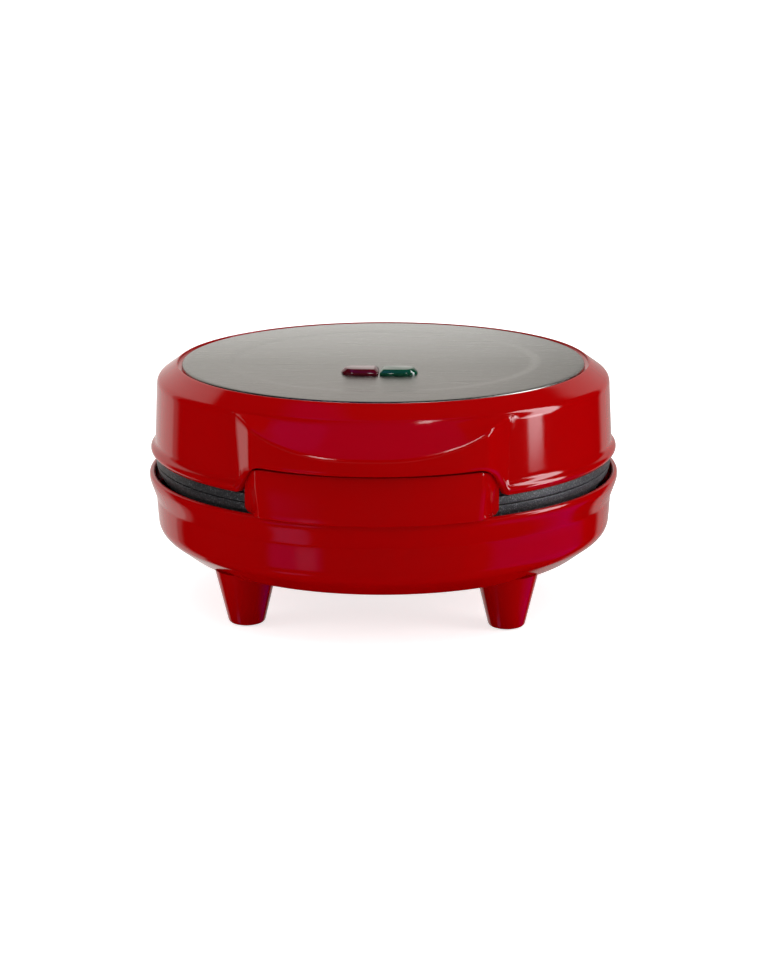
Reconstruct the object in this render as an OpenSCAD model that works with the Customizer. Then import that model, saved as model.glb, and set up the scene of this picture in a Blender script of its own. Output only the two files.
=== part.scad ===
// Round mini donut maker: two hinged plastic shells on four moulded feet, each with a cast baking plate,
// a tubular element and a reflector. Z is up, the hinge is at +Y, and the origin is on the floor below
// the middle of the round body.

/* [Body] */
// Nominal outer radius of both shells
body_r = 100; // [96:0.5:106]
// Wall of both shells
shell_t = 2.2; // [1.8:0.1:2.6]
// Height of the base's underside above the table
foot_h = 22.2; // [18:0.2:28]
// Height of the base from its underside to the crest of its lip
base_h = 35.1; // [34:0.1:42]
// Gap that shows between the base's lip and the lid's skirt
gap_h = 7.7; // [7:0.1:9]
// Height of the lid from its skirt edge to the crest of its ring
lid_h = 39.9; // [38:0.1:46]

/* [Lid shell] */
// How far the wall grows from the shoulder to the skirt
lid_draft = 1.2; // [0.6:0.1:1.6]
// Slope of the shoulder below the horizontal
shoulder_angle = 35.5; // [30:0.5:40]
// Width of the sloping shoulder, from the wall to the ring round the disc
shoulder_w = 9.2; // [8:0.1:10]
// Rounding between shoulder and wall
shoulder_round = 4; // [2.5:0.1:5]
// How far the skirt's bead stands out of the wall
bead_w = 2.1; // [1.4:0.1:2.6]
// Radius of the bead's rounding
bead_round = 1.7; // [1.2:0.1:2]
// Depth of the recess that the top disc lies in
recess_h = 1.5; // [1.2:0.1:2]

/* [Brow and notch] */
// How far the brow stands in front of the round body
brow_proud = 12; // [11:0.5:14]
// Radius of the brow's front in plan
brow_r = 84; // [80:1:88]
// Rounding of the brow's two outer corners in plan
brow_corner = 10; // [8:0.5:11]
// Hollow rounding where the brow runs into the wall
brow_blend = 8; // [6:0.5:9]
// Half angle of the front arc, as seen from the middle of that arc
brow_angle = 34; // [33:0.5:35]
// Slope of the brow's crescent face
brow_slope = 44.3; // [42:0.1:47]
// How far behind the origin the crescent's cone has its axis
brow_cone_y = 60; // [50:1:70]
// Height of the notch above the skirt edge
notch_h = 13.7; // [12.5:0.1:14.5]
// Half width of the notch between the centres of its round corners
notch_half_w = 44.5; // [43:0.1:45]
// Radius of the notch's round corners
notch_round = 8.5; // [8:0.1:9]
// Slant of the notch's sides off the vertical
notch_slant = 20; // [15:1:22]

/* [Handle grip] */
// Radius of the grip's front in plan
grip_r = 98; // [94:1:104]
// How far the grip's front stands in front of the round body
grip_proud = 8; // [7.6:0.1:8.4]
// Wall of the grip
grip_t = 2.4; // [2:0.1:2.6]
// Half width of the grip at its lower edge
grip_half_w = 50.8; // [49.5:0.1:51.2]
// How far the grip stays inside the notch's outline
grip_gap = 1; // [0.8:0.1:1.5]
// Rounding of the grip's lower corners
grip_round = 2.5; // [1.5:0.1:3]
// Half width of the tab that goes up behind the brow
grip_tab_half_w = 38; // [34:1:39]
// Distance of the grip's two screws from the middle
grip_screw_x = 25; // [20:1:30]

/* [Base shell] */
// How far the lip stands out of the wall
lip_w = 2.9; // [2:0.1:3.2]
// Height of the lip's slanting band
lip_h = 11.3; // [9:0.1:12]
// Rounding of the lip's edge
lip_round = 1.3; // [1.1:0.1:1.5]
// Width of the bevel round the base's underside
bevel_w = 12.2; // [10:0.1:14]
// Height of that bevel
bevel_h = 5.3; // [4:0.1:6]
// Rounding between wall and bevel
bevel_round = 6; // [4:0.1:7]
// How far the middle of each foot lies inside the body's radius
foot_inset = 21; // [20:0.5:24]
// Radius of a foot's sole
foot_sole_r = 7.7; // [7:0.1:8.5]
// Slope of a foot's side off the vertical
foot_slope = 13.5; // [10:0.5:14]
// Radius of a foot pad
pad_r = 5.5; // [4.5:0.1:6]
// Height of a foot pad
pad_h = 2; // [1.5:0.1:2.5]
// How far a pad stands out of its foot
pad_proud = 0.4; // [0.3:0.1:1]

/* [Hinge] */
// Radius of the ears and knuckles
ear_r = 5; // [4.8:0.1:5.2]
// Radius of the hinge pins
pin_r = 2; // [1.5:0.1:2.2]
// Running clearance of a pin in the lid's knuckles
pin_clear = 0.05; // [0.03:0.01:0.09]
// Side gap between ears and knuckles
ear_gap = 0.3; // [0.2:0.05:0.4]
// Inner face of the inner knuckles
knuckle_x = 14; // [14:0.5:16]
// Width of each knuckle
knuckle_w = 7.7; // [6:0.1:9]
// Width of each base ear
ear_w = 8; // [6:0.5:9]
// Half width of the hollow knuckle in the middle
duct_half_w = 12; // [11:0.5:12.5]
// Radius of the lead's way through the hollow knuckle
duct_r = 2.8; // [2.5:0.1:3]
// Radius of the sleeved lead
sleeve_r = 2.2; // [1.8:0.1:2.3]

/* [Top disc and lenses] */
// Gap between the disc and the ring round it
disc_gap = 1.9; // [1.2:0.1:2.4]
// Thickness of the disc's sheet
disc_t = 0.8; // [0.6:0.1:1]
// Width of the disc's flat band outside its dished middle
dish_w = 21.7; // [17:0.1:28]
// Depth of the dish below the rolled rim
dish_h = 0.3; // [0.1:0.05:0.4]
// Distance of the disc's tabs from its rim
tab_inset = 6.7; // [6:0.1:8.5]
// Width of both lenses together
lens_pair_w = 33; // [30:0.5:36]
// Depth of the lenses from front to back
lens_d = 12; // [10:0.5:14]
// Gap between the lenses
lens_gap = 0.7; // [0.4:0.1:1]
// How far the lenses stand out of the disc
lens_proud = 2.4; // [2:0.1:3]
// Bevel round the top of the lenses
lens_bevel = 1.5; // [1:0.1:1.8]
// How far the lenses lie in front of the middle
lens_front = 28; // [26:1:30]

/* [Baking plates] */
// How far the plates' rims stay inside the body's radius
plate_inset = 1.4; // [1.2:0.1:3]
// Thickness of the plates between the cavities
plate_t = 3; // [2.5:0.1:3.5]
// Height of the plates' rims
plate_rim_h = 5; // [4:0.1:5.5]
// Gap between the closed plates
plate_gap = 0.3; // [0.2:0.05:0.4]
// Number of donuts round the middle one
donut_count = 6; // [5:1:6]
// Web between neighbouring donuts
donut_web = 6; // [5:0.1:8]
// Flat rim outside the donuts
rim_web = 11.6; // [10:0.1:14]
// Half width of a donut's cavity
donut_half_w = 9.5; // [8.5:0.1:10]
// Straight depth of a cavity above its round bottom
donut_straight = 1.5; // [1:0.1:2]
// Wall of the cast cavities
cast_t = 2.5; // [2:0.1:3]
// Gap between the clamps' ends and the plates' screw posts
post_gap = 0.4; // [0.3:0.1:1]
// Radius of the plates' posts and of the shells' bosses
post_r = 5; // [4.5:0.1:5.3]

/* [Elements and reflectors] */
// Radius of the elements' tube
element_r = 3.3; // [3:0.1:3.6]
// Half of the angle that an element leaves open at the back
element_open = 20; // [16:1:24]
// Width of the cast rib that an element lies in
rib_w = 12; // [10:0.5:13]
// Thickness of the clamps under an element
clamp_t = 1.2; // [1:0.1:1.6]
// Distance of the clamps' screws from the element
clamp_screw_gap = 9; // [8.5:0.1:9.5]
// How far the reflectors reach past the screw posts
reflector_margin = 1.5; // [1:0.1:3]
// Thickness of the reflectors' sheet
reflector_t = 0.8; // [0.6:0.1:1]
// Room between an element's clamps and the reflector
reflector_gap = 2.8; // [2.6:0.1:3.2]
// Turned-up rim of the reflectors
reflector_rim = 4; // [3:0.5:5]

/* [Fasteners and leads] */
// Radius of the plate screws
screw_r = 2; // [1.6:0.1:2.1]
// Radius of the small screws
small_screw_r = 1.4; // [1.2:0.1:1.5]
// Web that the plate screws' heads bear on
web_t = 3; // [2.5:0.1:3.5]
// Clearance of a screw in the hole it holds in
thread_clear = 0.05; // [0.03:0.01:0.08]
// Radius of the insulated leads
lead_r = 1.3; // [1:0.1:1.5]
// Height of the cord inlet above the table
inlet_h = 34; // [33.5:0.1:34.5]
// Radius of the cord inlet's bore
inlet_r = 3.5; // [3:0.1:4]

/* [Hidden] */
$fn = 48;
fine = 96;
eps = 0.01;

// Heights
lip_z = foot_h + base_h;
skirt_z = lip_z + gap_h;
crest_z = skirt_z + lid_h;
part_z = lip_z + gap_h / 2;
lower_face_z = part_z - plate_gap / 2;
upper_face_z = part_z + plate_gap / 2;
floor_z = foot_h + shell_t;
deck_z = crest_z - recess_h;
deck_under_z = deck_z - shell_t;

// Lid outline
lid_top_r = body_r - 0.2;
lid_low_r = lid_top_r + lid_draft;
ring_r = lid_top_r - shoulder_w;
round_c_r = lid_top_r - shoulder_round;
round_c_z = crest_z - shoulder_round * cos(shoulder_angle)
    - (round_c_r + shoulder_round * sin(shoulder_angle) - ring_r) * tan(shoulder_angle);
shoulder_z = round_c_z + shoulder_round * sin(45);
bead_c_r = lid_low_r + bead_w - bead_round;
bead_c_z = skirt_z + 2.6;
bead_blend = 3.5;
plate_r = body_r - plate_inset;
skirt_in_r = plate_r + 0.8;
skirt_in_h = 6;

// Base outline
base_low_r = body_r + 0.3;
base_top_r = body_r + 1.1;
lip_r = base_top_r + lip_w - 0.1;
lip_c_r = lip_r - lip_round;
lip_c_z = lip_z - lip_round;
lip_in_r = lip_r - lip_round * 2;
ledge_z = lower_face_z - plate_rim_h - 1.8;
under_r = base_low_r - 2.8 - bevel_w;
bevel_top_r = base_low_r - 2.8;

// Brow: arcs in plan, all on the same centres whatever the offset
brow_reach = body_r + brow_proud;
brow_c_y = brow_reach - brow_r;
corner_x = (brow_r - brow_corner) * sin(brow_angle);
corner_y = brow_c_y + (brow_r - brow_corner) * cos(brow_angle);
corner_d = norm([corner_x, corner_y]);
blend_d = body_r + brow_blend;
blend_turn = acos((blend_d ^ 2 + corner_d ^ 2 - (brow_corner + brow_blend) ^ 2) / (2 * blend_d * corner_d));
blend_angle = atan2(corner_x, corner_y) + blend_turn;
blend_x = blend_d * sin(blend_angle);
blend_y = blend_d * cos(blend_angle);
join_angle = atan2(corner_y - blend_y, blend_x - corner_x);
brow_top_z = shoulder_z - 0.8;
brow_cone_r = brow_cone_y + body_r - 1;
notch_z = skirt_z + notch_h;
notch_c_z = notch_z - notch_round;

// Handle grip
grip_reach = body_r + grip_proud;
grip_c_y = grip_reach - grip_r;
grip_z = lip_z - 0.4;
grip_shelf_z = lip_z + 0.9;
grip_top_z = notch_z - grip_gap;
grip_tab_z = notch_z + 5;
grip_ledge_z = notch_z + 1.3;
grip_back_r = plate_r + 1.2;
grip_screw_y = body_r - 2;

// Hinge
hinge_y = brow_reach - ear_r;
hinge_z = part_z;
ear_x = knuckle_x + knuckle_w + ear_gap;
outer_x = ear_x + ear_w + ear_gap;
pin_end_x = outer_x + knuckle_w + ear_gap;
pin_head_r = pin_r + 1.2;
pin_head_t = 1.2;
hump_gap = 1.2;
duct_x = duct_half_w - duct_r - 2;
duct_low_z = hinge_z - 13.6;
duct_high_z = hinge_z + 15.2;
hump_h = 5;

// Feet
foot_reach = body_r - foot_inset;
foot_angles = [225, 315, 135, 45];

// Baking plates, heights counted from the face into the casting
donut_out_r = (plate_r - donut_web - rim_web) / 3;
donut_reach = 2 * donut_out_r + donut_web;
donut_ring_r = donut_out_r - donut_half_w;
element_ring_r = donut_reach;
clamp_end = 3.6;
post_reach = element_ring_r + clamp_screw_gap + clamp_end + post_gap + post_r;
reflector_r = post_reach + post_r + reflector_margin;
cavity_h = donut_straight + donut_half_w;
cast_half_w = donut_half_w + cast_t;
cast_h = cavity_h + cast_t;
element_h = cast_h + 2.3;
clamp_h = element_h + element_r;
reflector_h = clamp_h + clamp_t + reflector_gap;
boss_h = reflector_h + reflector_t;
head_h = boss_h + web_t;
thermostat_pad_r = 15.5;
post_angles = [30, 150, 210, 330];
clamp_angles = [30, 150, 270];
nub_angles = [-53.3, 66.7, 186.7];
nub_w = 2;
earth_angle = 75;
earth_r = 4;
clamp_screw_h = 7;
screw_grip = 8;
head_t = 2.4;
head_r = screw_r + 1.4;
recess_r = post_r - 1.2;
small_head_t = 1.4;
small_head_r = small_screw_r + 1;

// Element ends
pin_angle = 90 - element_open;
end_x = element_ring_r * cos(pin_angle);
end_y = element_ring_r * sin(pin_angle);
end_drop = 5.2;
end_pin_r = 1.3;
end_pin_l = 7;
end_tip_h = element_h + end_drop + end_pin_l;

// Thermostat
thermostat_r = 8.2;
thermostat_h = 7.5;
blade_x = 3.5;
blade_l = 7;
blade_back = 3;
ear_screw_x = 12;
ear_t = 0.8;
blade_z = lower_face_z - cast_h - ear_t - thermostat_h - blade_l;

// Terminal block
block = [28, 13, 7.5];
block_y = end_y + 9.6;
block_raise = 2.5;
block_ear = 5.5;
block_ear_t = 2.5;
pole_pitch = 9;
block_z = floor_z + block_raise;
block_front_y = block_y - block[1] / 2;
block_back_y = block_y + block[1] / 2;
pole_z = block_z + block[2] / 2;

// Lid fittings
disc_r = ring_r - disc_gap;
dish_r = disc_r - dish_w;
tab_reach = disc_r - tab_inset;
disc_top_z = crest_z - 0.2;
disc_dish_z = disc_top_z - dish_h;
lens_top_z = disc_dish_z + lens_proud;
lens_flange = 1;
lens_flange_t = 1.5;
lens_under_z = deck_under_z - lens_flange_t;
lens_hole_gap = 0.2;
holder_z = lens_under_z - 7.5;
holder_w = lens_pair_w + 4;
lead_bend = 5;
lead_sides = 12;
lamp_wire_x = 2.5;
holder_d = lens_d + 4;
holder_ear_x = holder_w / 2 + 4;
holder_ear_z = lens_under_z - 3.5;
holder_ear_t = 2.2;
lamp_r = 2.6;
lamp_l = 9;
tab_w = 6;
tab_l = 6;
tab_angles = [45, 135, 225, 315];
upper_reflector_z = upper_face_z + boss_h;
fuse_x = end_x + 14;
fuse_y = 34;
fuse_l = 12;
fuse_wire = 4;
fuse_end_y = fuse_y + fuse_l / 2 + fuse_wire;

// Cord inlet
inlet_wall_r = inlet_r + 2;
inlet_boss_r = inlet_wall_r + 3;
inlet_face_y = base_top_r + 1.2;
inlet_in_y = inlet_face_y - 9;
inlet_flange_t = 2;

// Colours
shell_red = [0.72, 0.02, 0.03];
cast_black = [0.12, 0.12, 0.13];
steel = [0.72, 0.72, 0.7];
dark_steel = [0.5, 0.5, 0.5];
lens_red = [0.4, 0.02, 0.05];
lens_green = [0.02, 0.3, 0.15];
nylon = [0.88, 0.87, 0.82];
rubber = [0.1, 0.1, 0.1];
brass = [0.75, 0.6, 0.3];

// ---- helpers ----

// Points on an arc round c, from angle a0 to angle a1
function arc(c, r, a0, a1, n = 6) =
    [for (i = [0 : n]) let(a = a0 + (a1 - a0) * i / n) c + r * [cos(a), sin(a)]];

// An outline from its half, whose last point is on the middle line
function both_halves(p) = concat(p, [for (i = [len(p) - 2 : -1 : 0]) [-p[i][0], p[i][1]]]);

// Points round the bend at p, on the way from a to b
function bend(a, p, b) =
    let(
        k = min(lead_bend, 0.45 * norm(p - a), 0.45 * norm(b - p)),
        start = p + k * (a - p) / norm(a - p),
        end = p + k * (b - p) / norm(b - p)
    )
    [for (t = [0 : 0.25 : 1]) (1 - t) * (1 - t) * start + 2 * t * (1 - t) * p + t * t * end];

// A ring's points moved along way onto the plane through p with the normal n
function moved(ring, way, p, n) = [for (q = ring) q + way * ((p - q) * n) / (way * n)];

// One ring of points for each point of the path from number i on, each made from the ring before it
function rings(path, ring, i) =
    i == len(path) ? [] :
    let(
        before = (path[i] - path[i - 1]) / norm(path[i] - path[i - 1]),
        after = i < len(path) - 1 ? (path[i + 1] - path[i]) / norm(path[i + 1] - path[i]) : before,
        next = moved(ring, before, path[i], before + after)
    )
    concat([next], rings(path, next, i + 1));

// Round lead along a list of points, with a soft bend at each
module lead(points, r = lead_r) {
    last = len(points) - 1;
    path = concat(
        [points[0]],
        [for (i = [1 : 1 : last - 1]) each bend(points[i - 1], points[i], points[i + 1])],
        [points[last]]
    );
    way = (path[1] - path[0]) / norm(path[1] - path[0]);
    side = cross(way, abs(way[2]) < 0.8 ? [0, 0, 1] : [1, 0, 0]);
    u = side / norm(side);
    v = cross(way, u);
    n = lead_sides;
    first = [for (k = [0 : n - 1]) path[0] + r * (u * cos(k * 360 / n) + v * sin(k * 360 / n))];
    all = concat([first], rings(path, first, 1));
    count = len(all);
    polyhedron(
        points = [for (ring = all) each ring],
        faces = concat(
            [[for (k = [0 : n - 1]) k]],
            [for (i = [0 : count - 2]) for (k = [0 : n - 1])
                [i * n + k, (i + 1) * n + k, (i + 1) * n + (k + 1) % n, i * n + (k + 1) % n]],
            [[for (k = [n - 1 : -1 : 0]) (count - 1) * n + k]]
        )
    );
}

// Cylinder along X on the hinge's axis
module hinge_bar(x0, x1, r) {
    translate([x0, hinge_y, hinge_z]) rotate([0, 90, 0]) cylinder(h = x1 - x0, r = r);
}

// Outline in Y and Z, carried from x0 to x1
module slab(x0, x1, points) {
    translate([x0, 0, 0]) rotate([90, 0, 90]) linear_extrude(x1 - x0) polygon(points);
}

// Cylinder along Y from y0 to y1
module y_bar(x, y0, y1, z, r) {
    translate([x, y0, z]) rotate([-90, 0, 0]) cylinder(h = y1 - y0, r = r);
}

module both_sides() {
    children();
    mirror([1, 0, 0]) children();
}

module at_angles(angles, reach) {
    for (a = angles) rotate(a) translate([reach, 0, 0]) children();
}

// Puts what is drawn with its heights counted from the lower plate's face downwards in its place
module in_base() {
    translate([0, 0, lower_face_z]) mirror([0, 0, 1]) children();
}

// The same for the upper plate, counted upwards
module in_lid() {
    translate([0, 0, upper_face_z]) children();
}

// ---- base ----

module base_body() {
    rotate_extrude($fn = fine) polygon(concat(
        [[0, foot_h], [under_r, foot_h]],
        arc([base_low_r - bevel_round, foot_h + bevel_h + bevel_round * 0.8], bevel_round, -60, 0),
        [[base_top_r, lip_z - lip_h]],
        [[lip_r, lip_c_z - 1.5]],
        arc([lip_c_r, lip_c_z], lip_round, 0, 180),
        [[0, lip_z - lip_round]]
    ));
}

module base_hollow() {
    rotate_extrude($fn = fine) polygon([
        [0, floor_z],
        [under_r - 0.4, floor_z],
        [bevel_top_r - shell_t * 0.6, floor_z + bevel_h - 0.4],
        [base_low_r - shell_t, floor_z + bevel_h + 4],
        [base_top_r - shell_t - 0.1, lip_z - lip_h],
        [base_top_r - shell_t - 0.1, ledge_z - 2.2],
        [lip_in_r, ledge_z],
        [lip_in_r, crest_z],
        [0, crest_z]
    ]);
}

// Hollow conical foot whose top follows the base's underside
module foot(a) {
    top_z = foot_h + bevel_h;
    lean = tan(foot_slope);
    color(shell_red) difference() {
        rotate(a) translate([foot_reach, 0, 0]) difference() {
            translate([0, 0, pad_proud])
                cylinder(h = top_z - pad_proud, r1 = foot_sole_r, r2 = foot_sole_r + (top_z - pad_proud) * lean);
            translate([0, 0, pad_h + shell_t]) cylinder(
                h = top_z,
                r1 = foot_sole_r - shell_t + (pad_h + shell_t) * lean,
                r2 = foot_sole_r - shell_t + (pad_h + shell_t + top_z) * lean
            );
            translate([0, 0, -1]) cylinder(h = pad_h + 1, r = pad_r);
        }
        base_body();
    }
}

module base_shell() {
    ear_points = [
        [body_r - 8, hinge_z - 16], [hinge_y - 3, hinge_z - 16], [hinge_y + ear_r, hinge_z - 6],
        [hinge_y + ear_r, hinge_z], [hinge_y - ear_r, hinge_z], [body_r - 8, hinge_z - 6]
    ];
    hump_top_z = hinge_z - ear_r - hump_gap;
    hump_points = [
        [body_r - 8, duct_low_z - hump_h], [hinge_y + ear_r - 1, duct_low_z - hump_h],
        [hinge_y + ear_r, duct_low_z - hump_h + 1], [hinge_y + ear_r, hump_top_z], [body_r - 8, hump_top_z]
    ];
    neck_points = [
        [hinge_y - ear_r, hump_top_z - 1], [hinge_y + ear_r, hump_top_z - 1],
        [hinge_y + ear_r, hinge_z], [hinge_y - ear_r, hinge_z]
    ];
    color(shell_red) difference() {
        union() {
            difference() {
                union() {
                    base_body();
                    both_sides() slab(ear_x, ear_x + ear_w, ear_points);
                    both_sides() hinge_bar(ear_x, ear_x + ear_w, ear_r);
                    slab(-duct_half_w, duct_half_w, hump_points);
                    slab(-duct_half_w, -ear_gap / 2, neck_points);
                    hinge_bar(-duct_half_w, -ear_gap / 2, ear_r);
                    y_bar(0, inlet_in_y - 2, inlet_face_y, inlet_h, inlet_boss_r);
                }
                base_hollow();
            }
            // Bosses for the plate screws
            in_base() at_angles(post_angles, post_reach) translate([0, 0, boss_h])
                cylinder(h = lower_face_z - boss_h - foot_h - 0.5, r = post_r);
            // Seats of the terminal block
            both_sides() translate([block[0] / 2 + block_ear / 2, block_y, floor_z - 1])
                cylinder(h = block_raise + 1, r = 2.7);
            // Collar inside the wall at the cord inlet
            y_bar(0, inlet_in_y, body_r - 1, inlet_h, inlet_boss_r);
        }
        in_base() at_angles(post_angles, post_reach) {
            translate([0, 0, boss_h - 1]) cylinder(h = lower_face_z, r = screw_r + 0.3);
            translate([0, 0, head_h]) cylinder(h = lower_face_z, r = recess_r);
        }
        both_sides() hinge_bar(ear_x - 1, ear_x + ear_w + 1, pin_r + 0.02);
        y_bar(0, inlet_in_y - 5, inlet_face_y + 5, inlet_h, inlet_wall_r);
        // Way of the lead through the hump and the hollow knuckle
        hinge_bar(-duct_x - duct_r, 1, duct_r);
        translate([-duct_x, hinge_y, duct_low_z]) cylinder(h = hinge_z - duct_low_z, r = duct_r);
        y_bar(-duct_x, body_r - 10, hinge_y + duct_r, duct_low_z, duct_r);
        both_sides() translate([block[0] / 2 + block_ear / 2, block_y, floor_z + block_raise - 4])
            cylinder(h = 6, r = small_screw_r + thread_clear);
        // Vents in the floor
        for (i = [-3 : 3]) translate([i * 8 - 1.4, -22, foot_h - 1]) cube([2.8, 44, shell_t + 2]);
    }
}

module foot_pad(a) {
    color(rubber) rotate(a) translate([foot_reach, 0, 0]) {
        cylinder(h = pad_h - 0.6, r = pad_r - 0.1);
        translate([0, 0, pad_h - 0.6 - eps]) cylinder(h = 0.6 + eps, r1 = pad_r - 0.1, r2 = pad_r - 0.7);
    }
}

module cord_inlet_bush() {
    color(rubber) difference() {
        union() {
            y_bar(0, inlet_in_y, inlet_face_y + 1, inlet_h, inlet_wall_r - 0.05);
            y_bar(0, inlet_face_y, inlet_face_y + inlet_flange_t, inlet_h, inlet_wall_r + 1.8);
        }
        y_bar(0, inlet_in_y - 1, inlet_face_y + inlet_flange_t + 1, inlet_h, inlet_r);
    }
}

module hinge_pin() {
    color(steel) {
        hinge_bar(knuckle_x - 0.8, pin_end_x + pin_head_t / 2, pin_r);
        hinge_bar(pin_end_x, pin_end_x + pin_head_t, pin_head_r);
    }
}

// ---- heating half, heights counted from the plate's face into the casting ----

module donut_places() {
    children();
    for (i = [0 : donut_count - 1]) rotate(i * 360 / donut_count) translate([donut_reach, 0, 0]) children();
}

module cavity() {
    rotate_extrude($fn = fine) {
        translate([donut_ring_r, donut_straight]) circle(r = donut_half_w);
        translate([donut_ring_r - donut_half_w, -1]) square([2 * donut_half_w, donut_straight + 1]);
    }
}

module cast_ring() {
    rotate_extrude($fn = fine) difference() {
        union() {
            translate([donut_ring_r, donut_straight]) circle(r = cast_half_w);
            translate([donut_ring_r - cast_half_w, 0]) square([2 * cast_half_w, donut_straight]);
        }
        translate([0, -50]) square([100, 50]);
    }
}

module plate() {
    difference() {
        union() {
            cylinder(h = plate_t, r = plate_r, $fn = fine);
            difference() {
                cylinder(h = plate_rim_h, r = plate_r, $fn = fine);
                translate([0, 0, -1]) cylinder(h = plate_rim_h + 2, r = plate_r - 4, $fn = fine);
            }
            donut_places() cast_ring();
            cylinder(h = cast_h, r = thermostat_pad_r);
            // Rib that the element lies in
            difference() {
                cylinder(h = element_h - 0.4, r = element_ring_r + rib_w / 2, $fn = fine);
                translate([0, 0, -1]) cylinder(h = element_h + 2, r = element_ring_r - rib_w / 2, $fn = fine);
            }
            at_angles(post_angles, post_reach) cylinder(h = reflector_h, r = post_r);
            at_angles([earth_angle], post_reach) cylinder(h = reflector_h, r = earth_r);
            at_angles(clamp_angles, element_ring_r - clamp_screw_gap) cylinder(h = clamp_h, r = 3.4);
            at_angles(clamp_angles, element_ring_r + clamp_screw_gap) cylinder(h = clamp_h, r = 3.4);
        }
        donut_places() cavity();
        rotate_extrude($fn = fine) translate([element_ring_r, element_h]) circle(r = element_r + thread_clear);
        at_angles(post_angles, post_reach) translate([0, 0, reflector_h - screw_grip])
            cylinder(h = screw_grip + 1, r = screw_r + thread_clear);
        at_angles([earth_angle], post_reach) translate([0, 0, reflector_h - 6])
            cylinder(h = 7, r = small_screw_r + thread_clear);
        for (side = [-1, 1]) at_angles(clamp_angles, element_ring_r + side * clamp_screw_gap)
            translate([0, 0, clamp_h - clamp_screw_h])
                cylinder(h = clamp_screw_h + 1, r = small_screw_r + thread_clear);
        for (side = [-1, 1]) translate([side * ear_screw_x, 0, cast_h - 5])
            cylinder(h = 6, r = small_screw_r + thread_clear);
    }
}

// Small radial nubs that centre the lower plate in the base's lip
module plate_nubs() {
    at_angles(nub_angles, plate_r - 1.5) translate([0, -nub_w / 2, plate_rim_h - 2])
        cube([lip_in_r - plate_r + 1.2, nub_w, 2]);
}

module element() {
    rotate(90 + element_open) rotate_extrude(angle = 360 - 2 * element_open, $fn = fine)
        translate([element_ring_r, element_h]) circle(r = element_r, $fn = 32);
    both_sides() translate([end_x, end_y, element_h]) {
        sphere(r = element_r * 1.02, $fn = 32);
        cylinder(h = end_drop, r = element_r, $fn = 32);
        translate([0, 0, end_drop - 1]) cylinder(h = end_pin_l + 1, r = end_pin_r, $fn = 24);
    }
}

module element_clamps() {
    at_angles(clamp_angles, element_ring_r) difference() {
        translate([-clamp_screw_gap - clamp_end, -4, clamp_h])
            cube([2 * (clamp_screw_gap + clamp_end), 8, clamp_t]);
        for (side = [-1, 1]) translate([side * clamp_screw_gap, 0, clamp_h - 1])
            cylinder(h = clamp_t + 2, r = small_screw_r + 0.2);
    }
}

// Small screw whose head bears at height h and whose shank goes back l towards the plate
module small_screw(h, l) {
    difference() {
        union() {
            translate([0, 0, h - l]) cylinder(h = l + 0.5, r = small_screw_r, $fn = 24);
            translate([0, 0, h]) cylinder(h = small_head_t, r = small_head_r, $fn = 32);
        }
        translate([-0.3, -small_head_r, h + small_head_t - 0.6]) cube([0.6, 2 * small_head_r, 1]);
    }
}

module clamp_screws() {
    for (side = [-1, 1]) at_angles(clamp_angles, element_ring_r + side * clamp_screw_gap)
        small_screw(clamp_h + clamp_t, clamp_t + clamp_screw_h - 1);
}

module reflector() {
    difference() {
        union() {
            translate([0, 0, reflector_h]) cylinder(h = reflector_t, r = reflector_r, $fn = fine);
            translate([0, 0, boss_h - reflector_rim]) difference() {
                cylinder(h = reflector_rim, r = reflector_r, $fn = fine);
                translate([0, 0, -1])
                    cylinder(h = reflector_rim + 2, r = reflector_r - reflector_t, $fn = fine);
            }
        }
        at_angles(post_angles, post_reach) translate([0, 0, reflector_h - 1])
            cylinder(h = reflector_t + 2, r = screw_r + 0.3);
        at_angles([earth_angle], post_reach) translate([0, 0, reflector_h - 1])
            cylinder(h = reflector_t + 2, r = small_screw_r + 0.2);
        both_sides() translate([end_x, end_y, reflector_h - 1])
            cylinder(h = reflector_t + 2, r = element_r + 2);
        translate([0, 0, reflector_h - 1]) cylinder(h = reflector_t + 2, r = thermostat_r + 2);
    }
}

// Plate screws: the heads bear on the shells' webs
module plate_screws() {
    at_angles(post_angles, post_reach) difference() {
        union() {
            translate([0, 0, reflector_h - screw_grip + 1])
                cylinder(h = head_h - reflector_h + screw_grip - 0.5, r = screw_r, $fn = 24);
            translate([0, 0, head_h]) cylinder(h = head_t, r = head_r, $fn = 32);
        }
        for (a = [0, 90]) rotate(a) translate([-0.5, -head_r * 0.6, head_h + head_t - 1])
            cube([1, head_r * 1.2, 2]);
    }
}

// ---- base fittings ----

module thermostat() {
    color(dark_steel) in_base() {
        translate([0, 0, cast_h]) difference() {
            union() {
                cylinder(h = ear_t, r = thermostat_r + 0.6);
                translate([-ear_screw_x - 3, -3, 0]) cube([2 * ear_screw_x + 6, 6, ear_t]);
            }
            both_sides() translate([ear_screw_x, 0, -1]) cylinder(h = 3, r = small_screw_r + 0.2);
        }
        translate([0, 0, cast_h + ear_t - eps]) cylinder(h = thermostat_h, r = thermostat_r);
        both_sides() translate([blade_x - 0.4, -blade_back, cast_h + ear_t + thermostat_h - 0.5])
            cube([0.8, 2 * blade_back, blade_l + 0.5]);
    }
}

module thermostat_screws() {
    color(steel) in_base() both_sides() translate([ear_screw_x, 0, 0]) small_screw(cast_h + ear_t, 5);
}

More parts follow.
